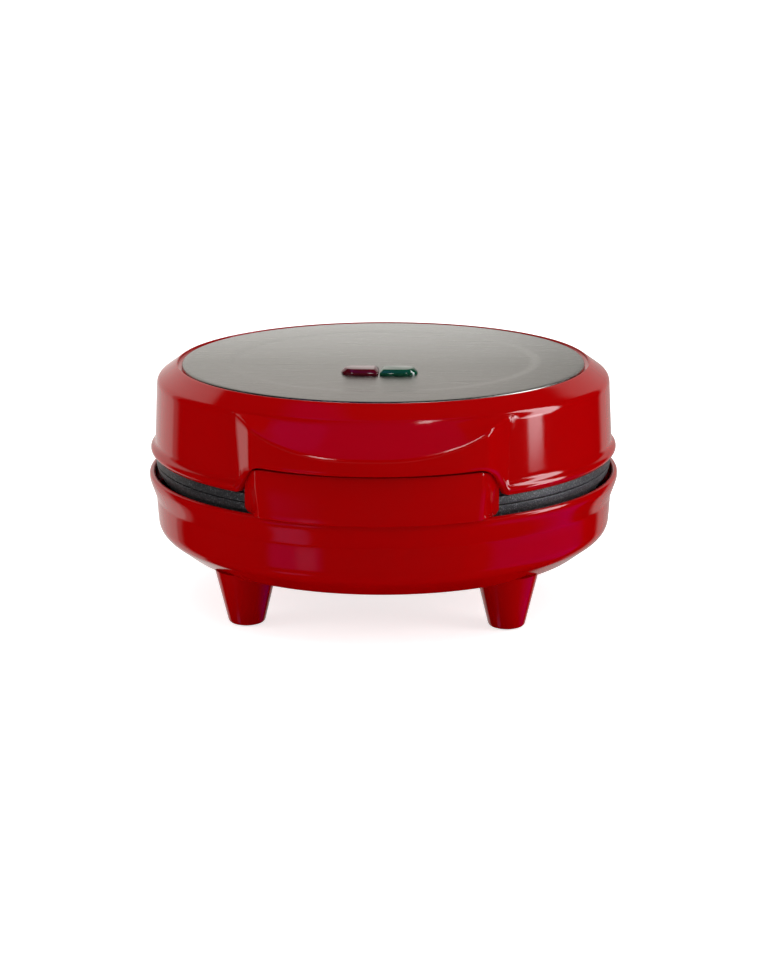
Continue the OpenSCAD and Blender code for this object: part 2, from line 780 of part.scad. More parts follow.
module terminal_block() {
    ear_c = block[0] / 2 + block_ear / 2;
    color(nylon) difference() {
        union() {
            translate([-block[0] / 2, block_front_y, block_z]) cube(block);
            translate([-block[0] / 2 - block_ear, block_y - 3, block_z])
                cube([block[0] + 2 * block_ear, 6, block_ear_t]);
        }
        for (i = [-1 : 1]) {
            y_bar(i * pole_pitch, block_front_y - 1, block_back_y + 1, pole_z, lead_r + 0.1);
            translate([i * pole_pitch, block_y, pole_z]) cylinder(h = block[2], r = 1.9);
        }
        both_sides() translate([ear_c, block_y, block_z - 1]) cylinder(h = 5, r = small_screw_r + 0.2);
    }
}

module terminal_screws() {
    color(brass) for (i = [-1 : 1]) translate([i * pole_pitch, block_y, pole_z]) difference() {
        translate([0, 0, lead_r]) cylinder(h = block[2] / 2 - lead_r - 0.5, r = 1.85, $fn = 24);
        translate([-0.3, -2.5, block[2] / 2 - 1.2]) cube([0.6, 5, 2]);
    }
}

module terminal_block_screws() {
    color(steel) both_sides() translate([block[0] / 2 + block_ear / 2, block_y, 0])
        small_screw(block_z + block_ear_t, block_ear_t + 3);
}

module earth_lug() {
    color(brass) in_base() rotate(earth_angle) translate([post_reach, 0, boss_h]) difference() {
        union() {
            cylinder(h = 0.8, r = 3.2);
            rotate(200) translate([0, -1.5, 0]) cube([8, 3, 0.8]);
        }
        translate([0, 0, -1]) cylinder(h = 3, r = small_screw_r + 0.2);
    }
}

module earth_screw() {
    color(brass) in_base() rotate(earth_angle) translate([post_reach, 0, 0])
        small_screw(boss_h + 0.8, 0.8 + reflector_t + 5);
}

base_lead_z = floor_z + lead_r + 0.1;
lead_rise_y = reflector_r + sleeve_r + 1.8;
base_pin_z = lower_face_z - end_tip_h - lead_r;

module live_lead() {
    color("saddlebrown") lead([
        [0, block_y + 1, pole_z],
        [0, block_front_y - 5, pole_z],
        [-blade_x, blade_back + 13, base_lead_z],
        [-blade_x, blade_back + 6, blade_z + 2],
        [-blade_x, blade_back, blade_z + 2]
    ]);
}

module switched_lead() {
    color("black") lead([
        [blade_x, blade_back, blade_z + 2],
        [blade_x, blade_back + 6, blade_z + 2],
        [blade_x + 2, blade_back + 13, base_lead_z],
        [end_x, 40, base_lead_z],
        [end_x, end_y - 6, base_pin_z],
        [end_x, end_y + 1, base_pin_z]
    ]);
}

module neutral_lead() {
    color("royalblue") lead([
        [-pole_pitch, block_y + 1, pole_z],
        [-pole_pitch, block_front_y - 8, pole_z],
        [-end_x, end_y - 12, base_lead_z],
        [-end_x, end_y - 4, base_pin_z],
        [-end_x, end_y + 1, base_pin_z]
    ]);
}

earth_tip_a = earth_angle - 160;
earth_tip = post_reach * [cos(earth_angle), sin(earth_angle)] + 8 * [cos(earth_tip_a), sin(earth_tip_a)];
earth_z = lower_face_z - boss_h - 0.8 - lead_r;

module earth_lead() {
    color("limegreen") lead([
        [pole_pitch, block_y - 1, pole_z],
        [pole_pitch, block_back_y + 5, pole_z],
        [earth_tip[0] + 4, earth_tip[1] + 9, earth_z - 1],
        [earth_tip[0], earth_tip[1], earth_z]
    ]);
}

module base_hinge_lead() {
    color("dimgray") lead([
        [-duct_x, block_back_y, pole_z - 0.5],
        [-duct_x, lead_rise_y, pole_z - 0.5],
        [-duct_x, lead_rise_y, duct_low_z],
        [-duct_x, hinge_y, duct_low_z],
        [-duct_x, hinge_y, hinge_z],
        [-0.1, hinge_y, hinge_z]
    ], sleeve_r);
}

// ---- lid ----

module lid_body() {
    rotate_extrude($fn = fine) polygon(concat(
        [[0, skirt_z], [lid_low_r + bead_w - bead_round, skirt_z]],
        arc([bead_c_r, bead_c_z], bead_round, -50, 35),
        [[lid_low_r + bead_w * 0.35, bead_c_z + bead_blend * 0.6], [lid_low_r, bead_c_z + bead_blend * 1.4]],
        arc([round_c_r, round_c_z], shoulder_round, 0, 90 - shoulder_angle),
        [[ring_r, crest_z], [0, crest_z]]
    ));
}

module lid_hollow() {
    slope_drop = shell_t / cos(shoulder_angle);
    corner_r = round_c_r + 1;
    rotate_extrude($fn = fine) polygon([
        [0, part_z],
        [skirt_in_r, part_z],
        [skirt_in_r, skirt_z + skirt_in_h],
        [lid_low_r - shell_t - 0.2, skirt_z + skirt_in_h + 2],
        [lid_top_r - shell_t, round_c_z],
        [corner_r, crest_z - slope_drop - (corner_r - ring_r) * tan(shoulder_angle)],
        [ring_r + (crest_z - slope_drop - deck_under_z) / tan(shoulder_angle), deck_under_z],
        [0, deck_under_z]
    ]);
}

// Half of the brow's outline in plan, t inside its outer surface, from the wall to the middle
function brow_half(t) = concat(
    [(body_r - t - 3) * [sin(blend_angle), -cos(blend_angle)]],
    arc([blend_x, -blend_y], brow_blend + t, 90 + blend_angle, 180 + join_angle),
    arc([corner_x, -corner_y], brow_corner - t, join_angle, brow_angle - 90, 7),
    arc([0, -brow_c_y], brow_r - t, brow_angle - 90, -90, 10)
);

module brow_plan(t) {
    polygon(concat([[0, 0]], both_halves(brow_half(t))));
}

// Brow, t inside its outer surface, from the height z0
module brow(t, z0) {
    lean = t / sin(brow_slope) - (t > 0 ? 0.6 : 0);
    top_z = brow_top_z - t * 1.3;
    rise = brow_top_z - z0;
    intersection() {
        translate([0, 0, z0]) linear_extrude(top_z - z0) brow_plan(t);
        translate([0, brow_cone_y, z0])
            cylinder(
                h = rise, r1 = brow_cone_r - lean + rise / tan(brow_slope), r2 = brow_cone_r - lean, $fn = fine
            );
    }
}

// Outline of the notch as seen from the front
module notch_outline() {
    side = [notch_half_w, notch_c_z] + notch_round * [cos(notch_slant), sin(notch_slant)];
    low = gap_h + 14;
    polygon(both_halves(concat(
        [side + low * [tan(notch_slant), -1]],
        arc([notch_half_w, notch_c_z], notch_round, notch_slant, 90, 7),
        [[0, notch_z]]
    )));
}

module from_front(y0, y1) {
    translate([0, y1, 0]) rotate([90, 0, 0]) linear_extrude(y1 - y0) children();
}

module lens_plan(g) {
    w = lens_pair_w / 2;
    r = lens_d / 2 + g;
    translate([0, -lens_front]) {
        translate([-w + lens_d / 2, 0]) circle(r = r);
        translate([w - lens_d / 2, 0]) circle(r = r);
        translate([-w + lens_d / 2, -r]) square([2 * w - lens_d, 2 * r]);
    }
}

module lid_shell() {
    arm_points = [
        [body_r - 8, hinge_z + 18], [hinge_y - 3, hinge_z + 18], [hinge_y + ear_r, hinge_z + 7],
        [hinge_y + ear_r, hinge_z], [hinge_y - ear_r, hinge_z], [body_r - 8, hinge_z + 6]
    ];
    hump_low_z = hinge_z + ear_r + hump_gap;
    hump_points = [
        [body_r - 8, hump_low_z], [hinge_y, hump_low_z], [hinge_y + ear_r - 0.5, hump_low_z + 4],
        [hinge_y + ear_r - 0.5, duct_high_z + 2], [hinge_y, duct_high_z + hump_h + 1],
        [body_r - 8, duct_high_z + hump_h + 1]
    ];
    neck_points = [
        [hinge_y - ear_r + 0.5, hinge_z], [hinge_y + ear_r - 0.5, hinge_z],
        [hinge_y + ear_r - 1.5, hump_low_z + 4], [hinge_y - ear_r + 0.5, hump_low_z + 4]
    ];
    boss_top = upper_face_z + boss_h;
    color(shell_red) difference() {
        union() {
            difference() {
                union() {
                    lid_body();
                    brow(0, skirt_z);
                    both_sides() for (x = [knuckle_x, outer_x]) {
                        slab(x, x + knuckle_w, arm_points);
                        hinge_bar(x, x + knuckle_w, ear_r);
                    }
                    slab(-duct_half_w, duct_half_w, hump_points);
                    slab(ear_gap / 2, duct_half_w, neck_points);
                    hinge_bar(ear_gap / 2, duct_half_w, ear_r);
                }
                lid_hollow();
                brow(shell_t, skirt_z - 1);
                translate([0, 0, deck_z]) cylinder(h = 10, r = ring_r, $fn = fine);
            }
            // Bosses for the plate screws
            at_angles(post_angles, post_reach) translate([0, 0, boss_top])
                cylinder(h = deck_under_z + 1 - boss_top, r = post_r);
            // Posts for the lamp holder
            both_sides() translate([holder_ear_x, -lens_front, holder_ear_z])
                cylinder(h = deck_under_z + 1 - holder_ear_z, r = 3);
            // Posts for the handle grip
            both_sides() intersection() {
                translate([grip_screw_x, -grip_screw_y, grip_ledge_z + grip_t])
                    cylinder(h = crest_z, r = 3.4);
                union() {
                    lid_body();
                    brow(0.5, skirt_z);
                }
            }
        }
        from_front(-body_r - 30, -body_r + 30) notch_outline();
        at_angles(post_angles, post_reach) {
            translate([0, 0, boss_top - 1]) cylinder(h = 40, r = screw_r + 0.3);
            translate([0, 0, boss_top + web_t]) cylinder(h = 40, r = recess_r);
        }
        translate([0, 0, deck_under_z - 1]) linear_extrude(10) lens_plan(lens_hole_gap);
        both_sides() translate([holder_ear_x, -lens_front, holder_ear_z - 1])
            cylinder(h = 5, r = small_screw_r + thread_clear);
        both_sides() translate([grip_screw_x, -grip_screw_y, grip_ledge_z + grip_t - 1])
            cylinder(h = 7, r = small_screw_r + thread_clear);
        both_sides() for (x = [knuckle_x, outer_x]) hinge_bar(x - 1, x + knuckle_w + 1, pin_r + pin_clear);
        // Way of the lead through the hollow knuckle and the hump
        hinge_bar(-1, duct_x + duct_r, duct_r);
        translate([duct_x, hinge_y, hinge_z]) cylinder(h = duct_high_z - hinge_z, r = duct_r);
        y_bar(duct_x, body_r - 10, hinge_y + duct_r, duct_high_z, duct_r);
        // Slots for the disc's tabs
        at_angles(tab_angles, tab_reach) translate([-disc_t / 2 - 0.3, -tab_w / 2 - 0.5, deck_under_z - 1])
            cube([disc_t + 0.6, tab_w + 1, 10]);
    }
}

module top_disc() {
    edge_z = deck_z;
    color(steel) {
        difference() {
            rotate_extrude($fn = fine) polygon([
                [0, disc_dish_z - disc_t], [dish_r, disc_dish_z - disc_t], [disc_r - 5, disc_top_z - disc_t],
                [disc_r - 1.8, disc_top_z - disc_t], [disc_r - 1.5, edge_z], [disc_r - 0.2, edge_z],
                [disc_r, disc_top_z - 0.5], [disc_r - 0.8, disc_top_z], [disc_r - 5, disc_top_z],
                [dish_r, disc_dish_z], [0, disc_dish_z]
            ]);
            translate([0, 0, disc_dish_z - 3]) linear_extrude(10) lens_plan(lens_hole_gap);
        }
        at_angles(tab_angles, tab_reach) translate([-disc_t / 2, -tab_w / 2, disc_dish_z - disc_t - tab_l])
            cube([disc_t, tab_w, tab_l + disc_t / 2]);
    }
}

module disc_clips() {
    color(dark_steel) at_angles(tab_angles, tab_reach) translate([0, 0, deck_under_z - 0.8]) difference() {
        translate([-4, -4.5, 0]) cube([8, 9, 0.8]);
        translate([-disc_t / 2 - 0.02, -tab_w / 2 - 0.1, -1]) cube([disc_t + 0.04, tab_w + 0.2, 3]);
    }
}

// Half of the lens pair, inset by g, on the side that s names
module half_plan(s, g) {
    intersection() {
        lens_plan(-g);
        translate([s > 0 ? lens_gap / 2 + g : -100 - lens_gap / 2 - g, -100]) square([100, 200]);
    }
}

module lens(s) {
    top = lens_top_z - lens_bevel;
    translate([0, 0, lens_under_z]) linear_extrude(top - lens_under_z) half_plan(s, 0);
    hull() {
        translate([0, 0, top - 0.1]) linear_extrude(0.1, $fn = 32) half_plan(s, 0, $fn = 32);
        translate([0, 0, lens_top_z - 0.1]) linear_extrude(0.1, $fn = 32) half_plan(s, lens_bevel, $fn = 32);
    }
    translate([0, 0, lens_under_z]) linear_extrude(lens_flange_t) intersection() {
        lens_plan(lens_flange);
        translate([s > 0 ? lens_gap / 2 : -100 - lens_gap / 2, -100]) square([100, 200]);
    }
}

module red_lens() {
    color(lens_red) lens(-1);
}

module green_lens() {
    color(lens_green) lens(1);
}

module lamp_holder() {
    color(nylon) difference() {
        union() {
            translate([-holder_w / 2, -lens_front - holder_d / 2, holder_z])
                cube([holder_w, holder_d, lens_under_z - holder_z]);
            translate([-holder_ear_x - 3, -lens_front - 3.5, holder_ear_z - holder_ear_t])
                cube([2 * holder_ear_x + 6, 7, holder_ear_t]);
        }
        both_sides() translate([1, -lens_front - lens_d / 2 + 1, holder_z + 1.5])
            cube([holder_w / 2 - 3, lens_d - 2, 20]);
        both_sides() translate([holder_ear_x, -lens_front, holder_ear_z - 5])
            cylinder(h = 10, r = small_screw_r + thread_clear);
        both_sides() for (x = [-lamp_wire_x, lamp_wire_x])
            y_bar(holder_w / 4 + x, -lens_front, -lens_front + holder_d, holder_z + 3, 0.9);
    }
}

module lamp_holder_screws() {
    color(steel) both_sides() translate([holder_ear_x, -lens_front, 2 * (holder_ear_z - holder_ear_t)])
        mirror([0, 0, 1])
        small_screw(holder_ear_z - holder_ear_t, holder_ear_t + 3.5);
}

// Neon lamp lying on the holder's floor, with its two wires
module lamp(s) {
    z = holder_z + 1.5 + lamp_r;
    translate([s * holder_w / 4 - lamp_l / 2 - 0.3 * s, -lens_front, z]) rotate([0, 90, 0]) {
        cylinder(h = lamp_l - 2, r = lamp_r);
        translate([0, 0, lamp_l - 2]) cylinder(h = 2, r1 = lamp_r, r2 = 0.8);
    }
}

module red_lamp() {
    color([0.9, 0.5, 0.3]) lamp(-1);
}

module green_lamp() {
    color([0.6, 0.8, 0.5]) lamp(1);
}

// Grip in plan: front arc less t, between half widths
module grip_plan(t, half_w) {
    intersection() {
        translate([0, -grip_c_y]) circle(r = grip_r - t, $fn = 2 * fine);
        translate([-half_w, -200]) square([2 * half_w, 200]);
    }
}

module grip_outline() {
    polygon(concat([[0, grip_z]], both_halves(concat(
        arc([grip_half_w - grip_round, grip_z + grip_round], grip_round, -90, 0, 4),
        arc([notch_half_w, notch_c_z], notch_round - grip_gap, 0, 90, 7),
        [[0, grip_top_z]]
    ))));
}

module handle_grip() {
    reach = grip_reach + 10;
    ledge_half = grip_tab_half_w;
    color(shell_red) difference() {
        union() {
            // Front wall, sides and shelf
            intersection() {
                from_front(-reach, -body_r * 0.8) grip_outline();
                translate([0, 0, grip_z - 1]) linear_extrude(60) grip_plan(0, 60);
            }
            // Tab behind the brow
            translate([0, 0, notch_c_z]) linear_extrude(grip_tab_z - notch_c_z) difference() {
                grip_plan(0.8, ledge_half);
                grip_plan(0.8 + grip_t, 100);
            }
            // Ledge that the screws go through
            translate([0, 0, grip_ledge_z]) linear_extrude(grip_t) difference() {
                grip_plan(1, ledge_half);
                circle(r = body_r - 6.5, $fn = fine);
                translate([-100, -60]) square([200, 100]);
            }
        }
        // Hollow behind the front wall
        translate([0, 0, grip_shelf_z + grip_t]) linear_extrude(grip_ledge_z - grip_shelf_z - grip_t)
            grip_plan(grip_t, grip_half_w - grip_t);
        // Clearance over the lip and round the plates
        translate([0, 0, grip_z - 5]) cylinder(h = grip_shelf_z - grip_z + 5, r = lip_r + 0.35, $fn = fine);
        translate([0, 0, grip_z - 5]) cylinder(h = notch_c_z, r = grip_back_r, $fn = fine);
        both_sides() translate([grip_screw_x, -grip_screw_y, grip_ledge_z - 1])
            cylinder(h = 6, r = small_screw_r + 0.2);
    }
}

module handle_screws() {
    color(steel) both_sides() translate([grip_screw_x, -grip_screw_y, 2 * grip_ledge_z]) mirror([0, 0, 1])
        small_screw(grip_ledge_z, grip_t + 5);
}

module thermal_fuse() {
    z = upper_reflector_z + 2;
    color(steel) {
        y_bar(fuse_x, fuse_y - fuse_l / 2, fuse_y + fuse_l / 2, z, 2);
        y_bar(fuse_x, 2 * fuse_y - fuse_end_y, fuse_end_y, z, 0.6);
    }
}

module fuse_clip() {
    z = upper_reflector_z;
    w = 6;
    color(dark_steel) difference() {
        union() {
            translate([fuse_x - 7, fuse_y - w / 2, z]) cube([14, w, 0.8]);
            y_bar(fuse_x, fuse_y - w / 2, fuse_y + w / 2, z + 2, 2.8);
        }
        y_bar(fuse_x, fuse_y - w, fuse_y + w, z + 2, 2.05);
        translate([fuse_x - 10, fuse_y - w, z - 5]) cube([20, 2 * w, 5]);
        translate([fuse_x - 2.05, fuse_y - w, z - 1]) cube([4.1, 2 * w, 3]);
    }
}

upper_pin_z = upper_face_z + end_tip_h + lead_r;
lid_lead_z = upper_reflector_z + lead_r + 0.1;
lid_sleeve_end = [duct_x, reflector_r - 8.5, upper_reflector_z + sleeve_r + 0.1];
core_x = lead_r + 0.05;
fuse_lead_z = upper_reflector_z + 2;

module lid_hinge_lead() {
    color("dimgray") lead([
        [0.1, hinge_y, hinge_z],
        [duct_x, hinge_y, hinge_z],
        [duct_x, hinge_y, duct_high_z],
        [duct_x, lead_rise_y, duct_high_z],
        [duct_x, lead_rise_y, lid_sleeve_end[2]],
        lid_sleeve_end
    ], sleeve_r);
}

module element_leads() {
    color("black") {
        lead([
            lid_sleeve_end + [-core_x, 0, -0.6], lid_sleeve_end + [-core_x, -5, -0.6],
            [-end_x, end_y + 7, upper_pin_z], [-end_x, end_y - 1, upper_pin_z]
        ]);
        lead([
            lid_sleeve_end + [core_x, 0, -0.6], lid_sleeve_end + [core_x, -5, -0.6],
            [fuse_x, fuse_end_y + 10, fuse_lead_z], [fuse_x, fuse_end_y, fuse_lead_z]
        ]);
        lead([
            [fuse_x, 2 * fuse_y - fuse_end_y, fuse_lead_z], [fuse_x, 2 * fuse_y - fuse_end_y - 5, fuse_lead_z],
            [end_x, end_y - 24, lid_lead_z], [end_x, end_y - 8, upper_pin_z], [end_x, end_y + 1, upper_pin_z]
        ]);
    }
}

module lamp_leads() {
    y = -lens_front + lens_d / 2;
    x = holder_w / 4 - lamp_wire_x;
    color("gray") for (s = [-1, 1]) {
        lead([
            lid_sleeve_end + [s * 0.9, 0, 1.6], lid_sleeve_end + [s * 0.9, -5, 1.6],
            [s * x, y + 32, lid_lead_z + 0.5],
            [s * x, y + 7, holder_z + 3], [s * x, y - 1, holder_z + 3]
        ], 0.85);
    }
}

base_shell();
foot(foot_angles[0]);  // front_left_foot
foot(foot_angles[1]);  // front_right_foot
foot(foot_angles[2]);  // rear_left_foot
foot(foot_angles[3]);  // rear_right_foot
foot_pad(foot_angles[0]);  // front_left_foot_pad
foot_pad(foot_angles[1]);  // front_right_foot_pad
foot_pad(foot_angles[2]);  // rear_left_foot_pad
foot_pad(foot_angles[3]);  // rear_right_foot_pad
cord_inlet_bush();
mirror([1, 0, 0]) hinge_pin();  // left_hinge_pin
hinge_pin();  // right_hinge_pin
color(cast_black) in_base() {  // lower_plate
    plate();
    plate_nubs();
}
color(dark_steel) in_base() element();  // lower_element
color(steel) in_base() element_clamps();  // lower_element_clamps
color(steel) in_base() clamp_screws();  // lower_clamp_screws
color(steel) in_base() reflector();  // lower_reflector
color(steel) in_base() plate_screws();  // lower_plate_screws
thermostat();
thermostat_screws();
terminal_block();
terminal_screws();
terminal_block_screws();
earth_lug();
earth_screw();
live_lead();
switched_lead();
neutral_lead();
earth_lead();
base_hinge_lead();
lid_shell();
top_disc();
disc_clips();
red_lens();
green_lens();
lamp_holder();
lamp_holder_screws();
red_lamp();
green_lamp();
handle_grip();
handle_screws();
color(cast_black) in_lid() plate();  // upper_plate
color(dark_steel) in_lid() element();  // upper_element
color(steel) in_lid() element_clamps();  // upper_element_clamps
color(steel) in_lid() clamp_screws();  // upper_clamp_screws
color(steel) in_lid() reflector();  // upper_reflector
color(steel) in_lid() plate_screws();  // upper_plate_screws
thermal_fuse();
fuse_clip();
lid_hinge_lead();
element_leads();
lamp_leads();
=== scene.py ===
from math import atan2, cos, degrees, hypot, pi, radians, sin, sqrt, tan

import bmesh
import bpy
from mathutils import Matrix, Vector


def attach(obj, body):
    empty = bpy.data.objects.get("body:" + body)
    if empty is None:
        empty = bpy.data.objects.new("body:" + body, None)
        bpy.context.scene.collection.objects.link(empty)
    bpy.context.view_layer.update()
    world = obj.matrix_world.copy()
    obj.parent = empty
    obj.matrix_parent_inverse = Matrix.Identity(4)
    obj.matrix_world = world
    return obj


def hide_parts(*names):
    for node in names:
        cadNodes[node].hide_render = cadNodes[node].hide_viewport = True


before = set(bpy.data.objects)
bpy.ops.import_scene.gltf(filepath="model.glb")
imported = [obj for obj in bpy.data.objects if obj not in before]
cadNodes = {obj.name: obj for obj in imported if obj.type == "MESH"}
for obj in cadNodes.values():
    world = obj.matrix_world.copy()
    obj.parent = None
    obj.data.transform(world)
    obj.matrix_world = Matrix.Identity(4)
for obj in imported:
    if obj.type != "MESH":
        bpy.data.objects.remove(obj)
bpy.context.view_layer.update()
scene = bpy.context.scene
mm = 0.001

# Camera: lens in mm, distance and target in m, angles in degrees
view = {
    "lens": 94.15,
    "distance": 1.1212,
    "turn": 3.3,
    "tilt": 14.08,
    "roll": -0.14,
    "target": (0.0, 0.0, 0.050),
}


def addCamera():
    turn, tilt = radians(view["turn"]), radians(view["tilt"])
    away = Vector((sin(turn) * cos(tilt), -cos(turn) * cos(tilt), sin(tilt)))
    data = bpy.data.cameras.new("productCamera")
    data.lens = view["lens"]
    data.sensor_width = 36
    camera = bpy.data.objects.new("productCamera", data)
    camera.location = Vector(view["target"]) + view["distance"] * away
    camera.rotation_euler = (-away).to_track_quat("-Z", "Y").to_euler()
    camera.rotation_euler.rotate_axis("Z", radians(view["roll"]))
    scene.collection.objects.link(camera)
    scene.camera = camera


addCamera()
print("camera placed")


def addNode(tree, kind, inputs=None, **settings):
    # A node whose inputs are linked to sockets or set to plain values
    made = tree.nodes.new(kind)
    for key, value in settings.items():
        setattr(made, key, value)
    for key, value in (inputs or {}).items():
        if hasattr(value, "is_output"):
            tree.links.new(value, made.inputs[key])
        else:
            made.inputs[key].default_value = value
    return made


def mathNode(tree, operation, *values):
    return addNode(tree, "ShaderNodeMath", dict(enumerate(values)), operation=operation).outputs[0]


def rangeNode(tree, value, fromMin, fromMax, toMin=0.0, toMax=1.0):
    # The value moved from one span to another
    made = addNode(tree, "ShaderNodeMapRange", {
        "Value": value, "From Min": fromMin, "From Max": fromMax, "To Min": toMin, "To Max": toMax})
    return made.outputs["Result"]


def newGroup(name, inputs, outputs):
    # A shader group with inputs of (label, kind, start) and outputs of (label, kind)
    tree = bpy.data.node_groups.new(name, "ShaderNodeTree")
    kinds = {"value": "NodeSocketFloat", "color": "NodeSocketColor", "vector": "NodeSocketVector"}
    for label, kind, start in inputs:
        made = tree.interface.new_socket(label, in_out="INPUT", socket_type=kinds[kind])
        made.default_value = start
    for label, kind in outputs:
        tree.interface.new_socket(label, in_out="OUTPUT", socket_type=kinds[kind])
    return tree, tree.nodes.new("NodeGroupInput"), tree.nodes.new("NodeGroupOutput")


def mottleGroup():
    # Soft uneven patches: handling marks, flow in the plastic, uneven coating
    tree, given, out = newGroup(
        "surfaceMottle",
        [("Scale", "value", 60.0), ("Low", "value", 0.1), ("High", "value", 0.2),
         ("Sharpness", "value", 0.2)],
        [("Value", "value"), ("Height", "value")],
    )
    place = addNode(tree, "ShaderNodeTexCoord")
    wide = addNode(tree, "ShaderNodeTexNoise", {
        "Vector": place.outputs["Object"], "Scale": given.outputs["Scale"], "Detail": 5.0, "Roughness": 0.6})
    fineScale = mathNode(tree, "MULTIPLY", given.outputs["Scale"], 11.0)
    fine = addNode(tree, "ShaderNodeTexNoise", {
        "Vector": place.outputs["Object"], "Scale": fineScale, "Detail": 2.0})
    both = addNode(tree, "ShaderNodeMix", {
        "Factor": given.outputs["Sharpness"], "A": wide.outputs["Fac"], "B": fine.outputs["Fac"]})
    spread = rangeNode(tree, both.outputs["Result"], 0.3, 0.7, given.outputs["Low"], given.outputs["High"])
    tree.links.new(spread, out.inputs["Value"])
    tree.links.new(both.outputs["Result"], out.inputs["Height"])
    return tree


def castGroup():
    # Grain of a cast, coated surface: pits and pale flecks
    tree, given, out = newGroup(
        "castGrain",
        [("Scale", "value", 900.0), ("Ground", "color", (0.03, 0.03, 0.035, 1)),
         ("Fleck", "color", (0.2, 0.2, 0.21, 1)), ("Flecks", "value", 0.5)],
        [("Color", "color"), ("Height", "value")],
    )
    place = addNode(tree, "ShaderNodeTexCoord")
    grain = addNode(tree, "ShaderNodeTexNoise", {
        "Vector": place.outputs["Object"], "Scale": given.outputs["Scale"], "Detail": 3.0, "Roughness": 0.65})
    cloudScale = mathNode(tree, "MULTIPLY", given.outputs["Scale"], 0.05)
    cloud = addNode(tree, "ShaderNodeTexNoise", {
        "Vector": place.outputs["Object"], "Scale": cloudScale, "Detail": 2.0})
    fleck = rangeNode(tree, grain.outputs["Fac"], 0.52, 0.72, 0.0, given.outputs["Flecks"])
    uneven = mathNode(tree, "MULTIPLY", fleck, cloud.outputs["Fac"])
    twice = mathNode(tree, "MULTIPLY", uneven, 2.0)
    color = addNode(tree, "ShaderNodeMix", {
        "Factor": twice, "A": given.outputs["Ground"], "B": given.outputs["Fleck"]}, data_type="RGBA")
    tree.links.new(color.outputs[2], out.inputs["Color"])
    tree.links.new(grain.outputs["Fac"], out.inputs["Height"])
    return tree


def brushGroup():
    # Fine brushing along X, as long thin streaks
    tree, given, out = newGroup(
        "brushLines",
        [("Scale", "value", 2600.0), ("Stretch", "value", 0.012), ("Low", "value", 0.3),
         ("High", "value", 0.42)],
        [("Value", "value"), ("Height", "value")],
    )
    place = addNode(tree, "ShaderNodeTexCoord")
    ways = addNode(tree, "ShaderNodeCombineXYZ", {0: given.outputs["Stretch"], 1: 1.0, 2: 1.0})
    drawn = addNode(tree, "ShaderNodeVectorMath", {0: place.outputs["Object"], 1: ways.outputs[0]},
                    operation="MULTIPLY")
    lines = addNode(tree, "ShaderNodeTexNoise", {
        "Vector": drawn.outputs[0], "Scale": given.outputs["Scale"], "Detail": 3.0, "Roughness": 0.7})
    spread = rangeNode(tree, lines.outputs["Fac"], 0.3, 0.7, given.outputs["Low"], given.outputs["High"])
    tree.links.new(spread, out.inputs["Value"])
    tree.links.new(lines.outputs["Fac"], out.inputs["Height"])
    return tree


mottle = mottleGroup()
castGrain = castGroup()
brushLines = brushGroup()


def newMaterial(name, **settings):
    material = bpy.data.materials.new(name)
    material.use_nodes = True
    tree = material.node_tree
    shader = tree.nodes["Principled BSDF"]
    for key, value in settings.items():
        shader.inputs[key.replace("_", " ")].default_value = value
    return material, tree, shader


def useGroup(tree, group, inputs):
    made = addNode(tree, "ShaderNodeGroup", node_tree=group)
    for key, value in inputs.items():
        made.inputs[key].default_value = value
    return made


def addBump(tree, shader, height, strength, distance):
    bump = addNode(tree, "ShaderNodeBump", {"Height": height, "Strength": strength, "Distance": distance})
    tree.links.new(bump.outputs["Normal"], shader.inputs["Normal"])


def tinted(tree, shader, value, low, high, color, otherColor):
    # Base colour that drifts between two close colours
    spread = rangeNode(tree, value, low, high)
    mix = addNode(tree, "ShaderNodeMix", {"Factor": spread, "A": color, "B": otherColor}, data_type="RGBA")
    tree.links.new(mix.outputs[2], shader.inputs["Base Color"])


def plainFinish(name, color, otherColor, rough, scale=80.0, bump=0.05, metallic=0.0, **settings):
    # A moulded or plated finish: patchy roughness, a slight drift of colour and a fine skin
    material, tree, shader = newMaterial(name, Metallic=metallic, **settings)
    patches = useGroup(tree, mottle, {"Scale": scale, "Low": rough[0], "High": rough[1], "Sharpness": 0.35})
    tree.links.new(patches.outputs["Value"], shader.inputs["Roughness"])
    tinted(tree, shader, patches.outputs["Height"], 0.35, 0.65, color, otherColor)
    addBump(tree, shader, patches.outputs["Height"], bump, 0.0003)
    return material


redPlastic = plainFinish(
    "glossRedPlastic", (0.47, 0.0, 0.0006, 1), (0.45, 0.0, 0.0004, 1), (0.06, 0.10), scale=25.0, bump=0.004,
    Specular_IOR_Level=0.36)
rubberBlack = plainFinish("rubberBlack", (0.02, 0.02, 0.02, 1), (0.03, 0.03, 0.03, 1), (0.6, 0.8), bump=0.2)
inletNylon = plainFinish("inletNylon", (0.02, 0.02, 0.022, 1), (0.028, 0.028, 0.03, 1), (0.35, 0.5), bump=0.1)
naturalNylon = plainFinish("naturalNylon", (0.75, 0.72, 0.62, 1), (0.7, 0.66, 0.55, 1), (0.35, 0.5), bump=0.1)
ceramicWhite = plainFinish("ceramicWhite", (0.72, 0.66, 0.55, 1), (0.66, 0.6, 0.48, 1), (0.5, 0.7), bump=0.15)
zincSteel = plainFinish(
    "zincSteel", (0.62, 0.62, 0.6, 1), (0.52, 0.53, 0.5, 1), (0.25, 0.42), scale=160.0, metallic=1.0)
pinSteel = plainFinish("pinSteel", (0.55, 0.55, 0.55, 1), (0.48, 0.48, 0.48, 1), (0.2, 0.3), metallic=1.0)
brightAluminium = plainFinish(
    "brightAluminium", (0.8, 0.8, 0.79, 1), (0.7, 0.7, 0.69, 1), (0.15, 0.35), scale=40.0, metallic=1.0)
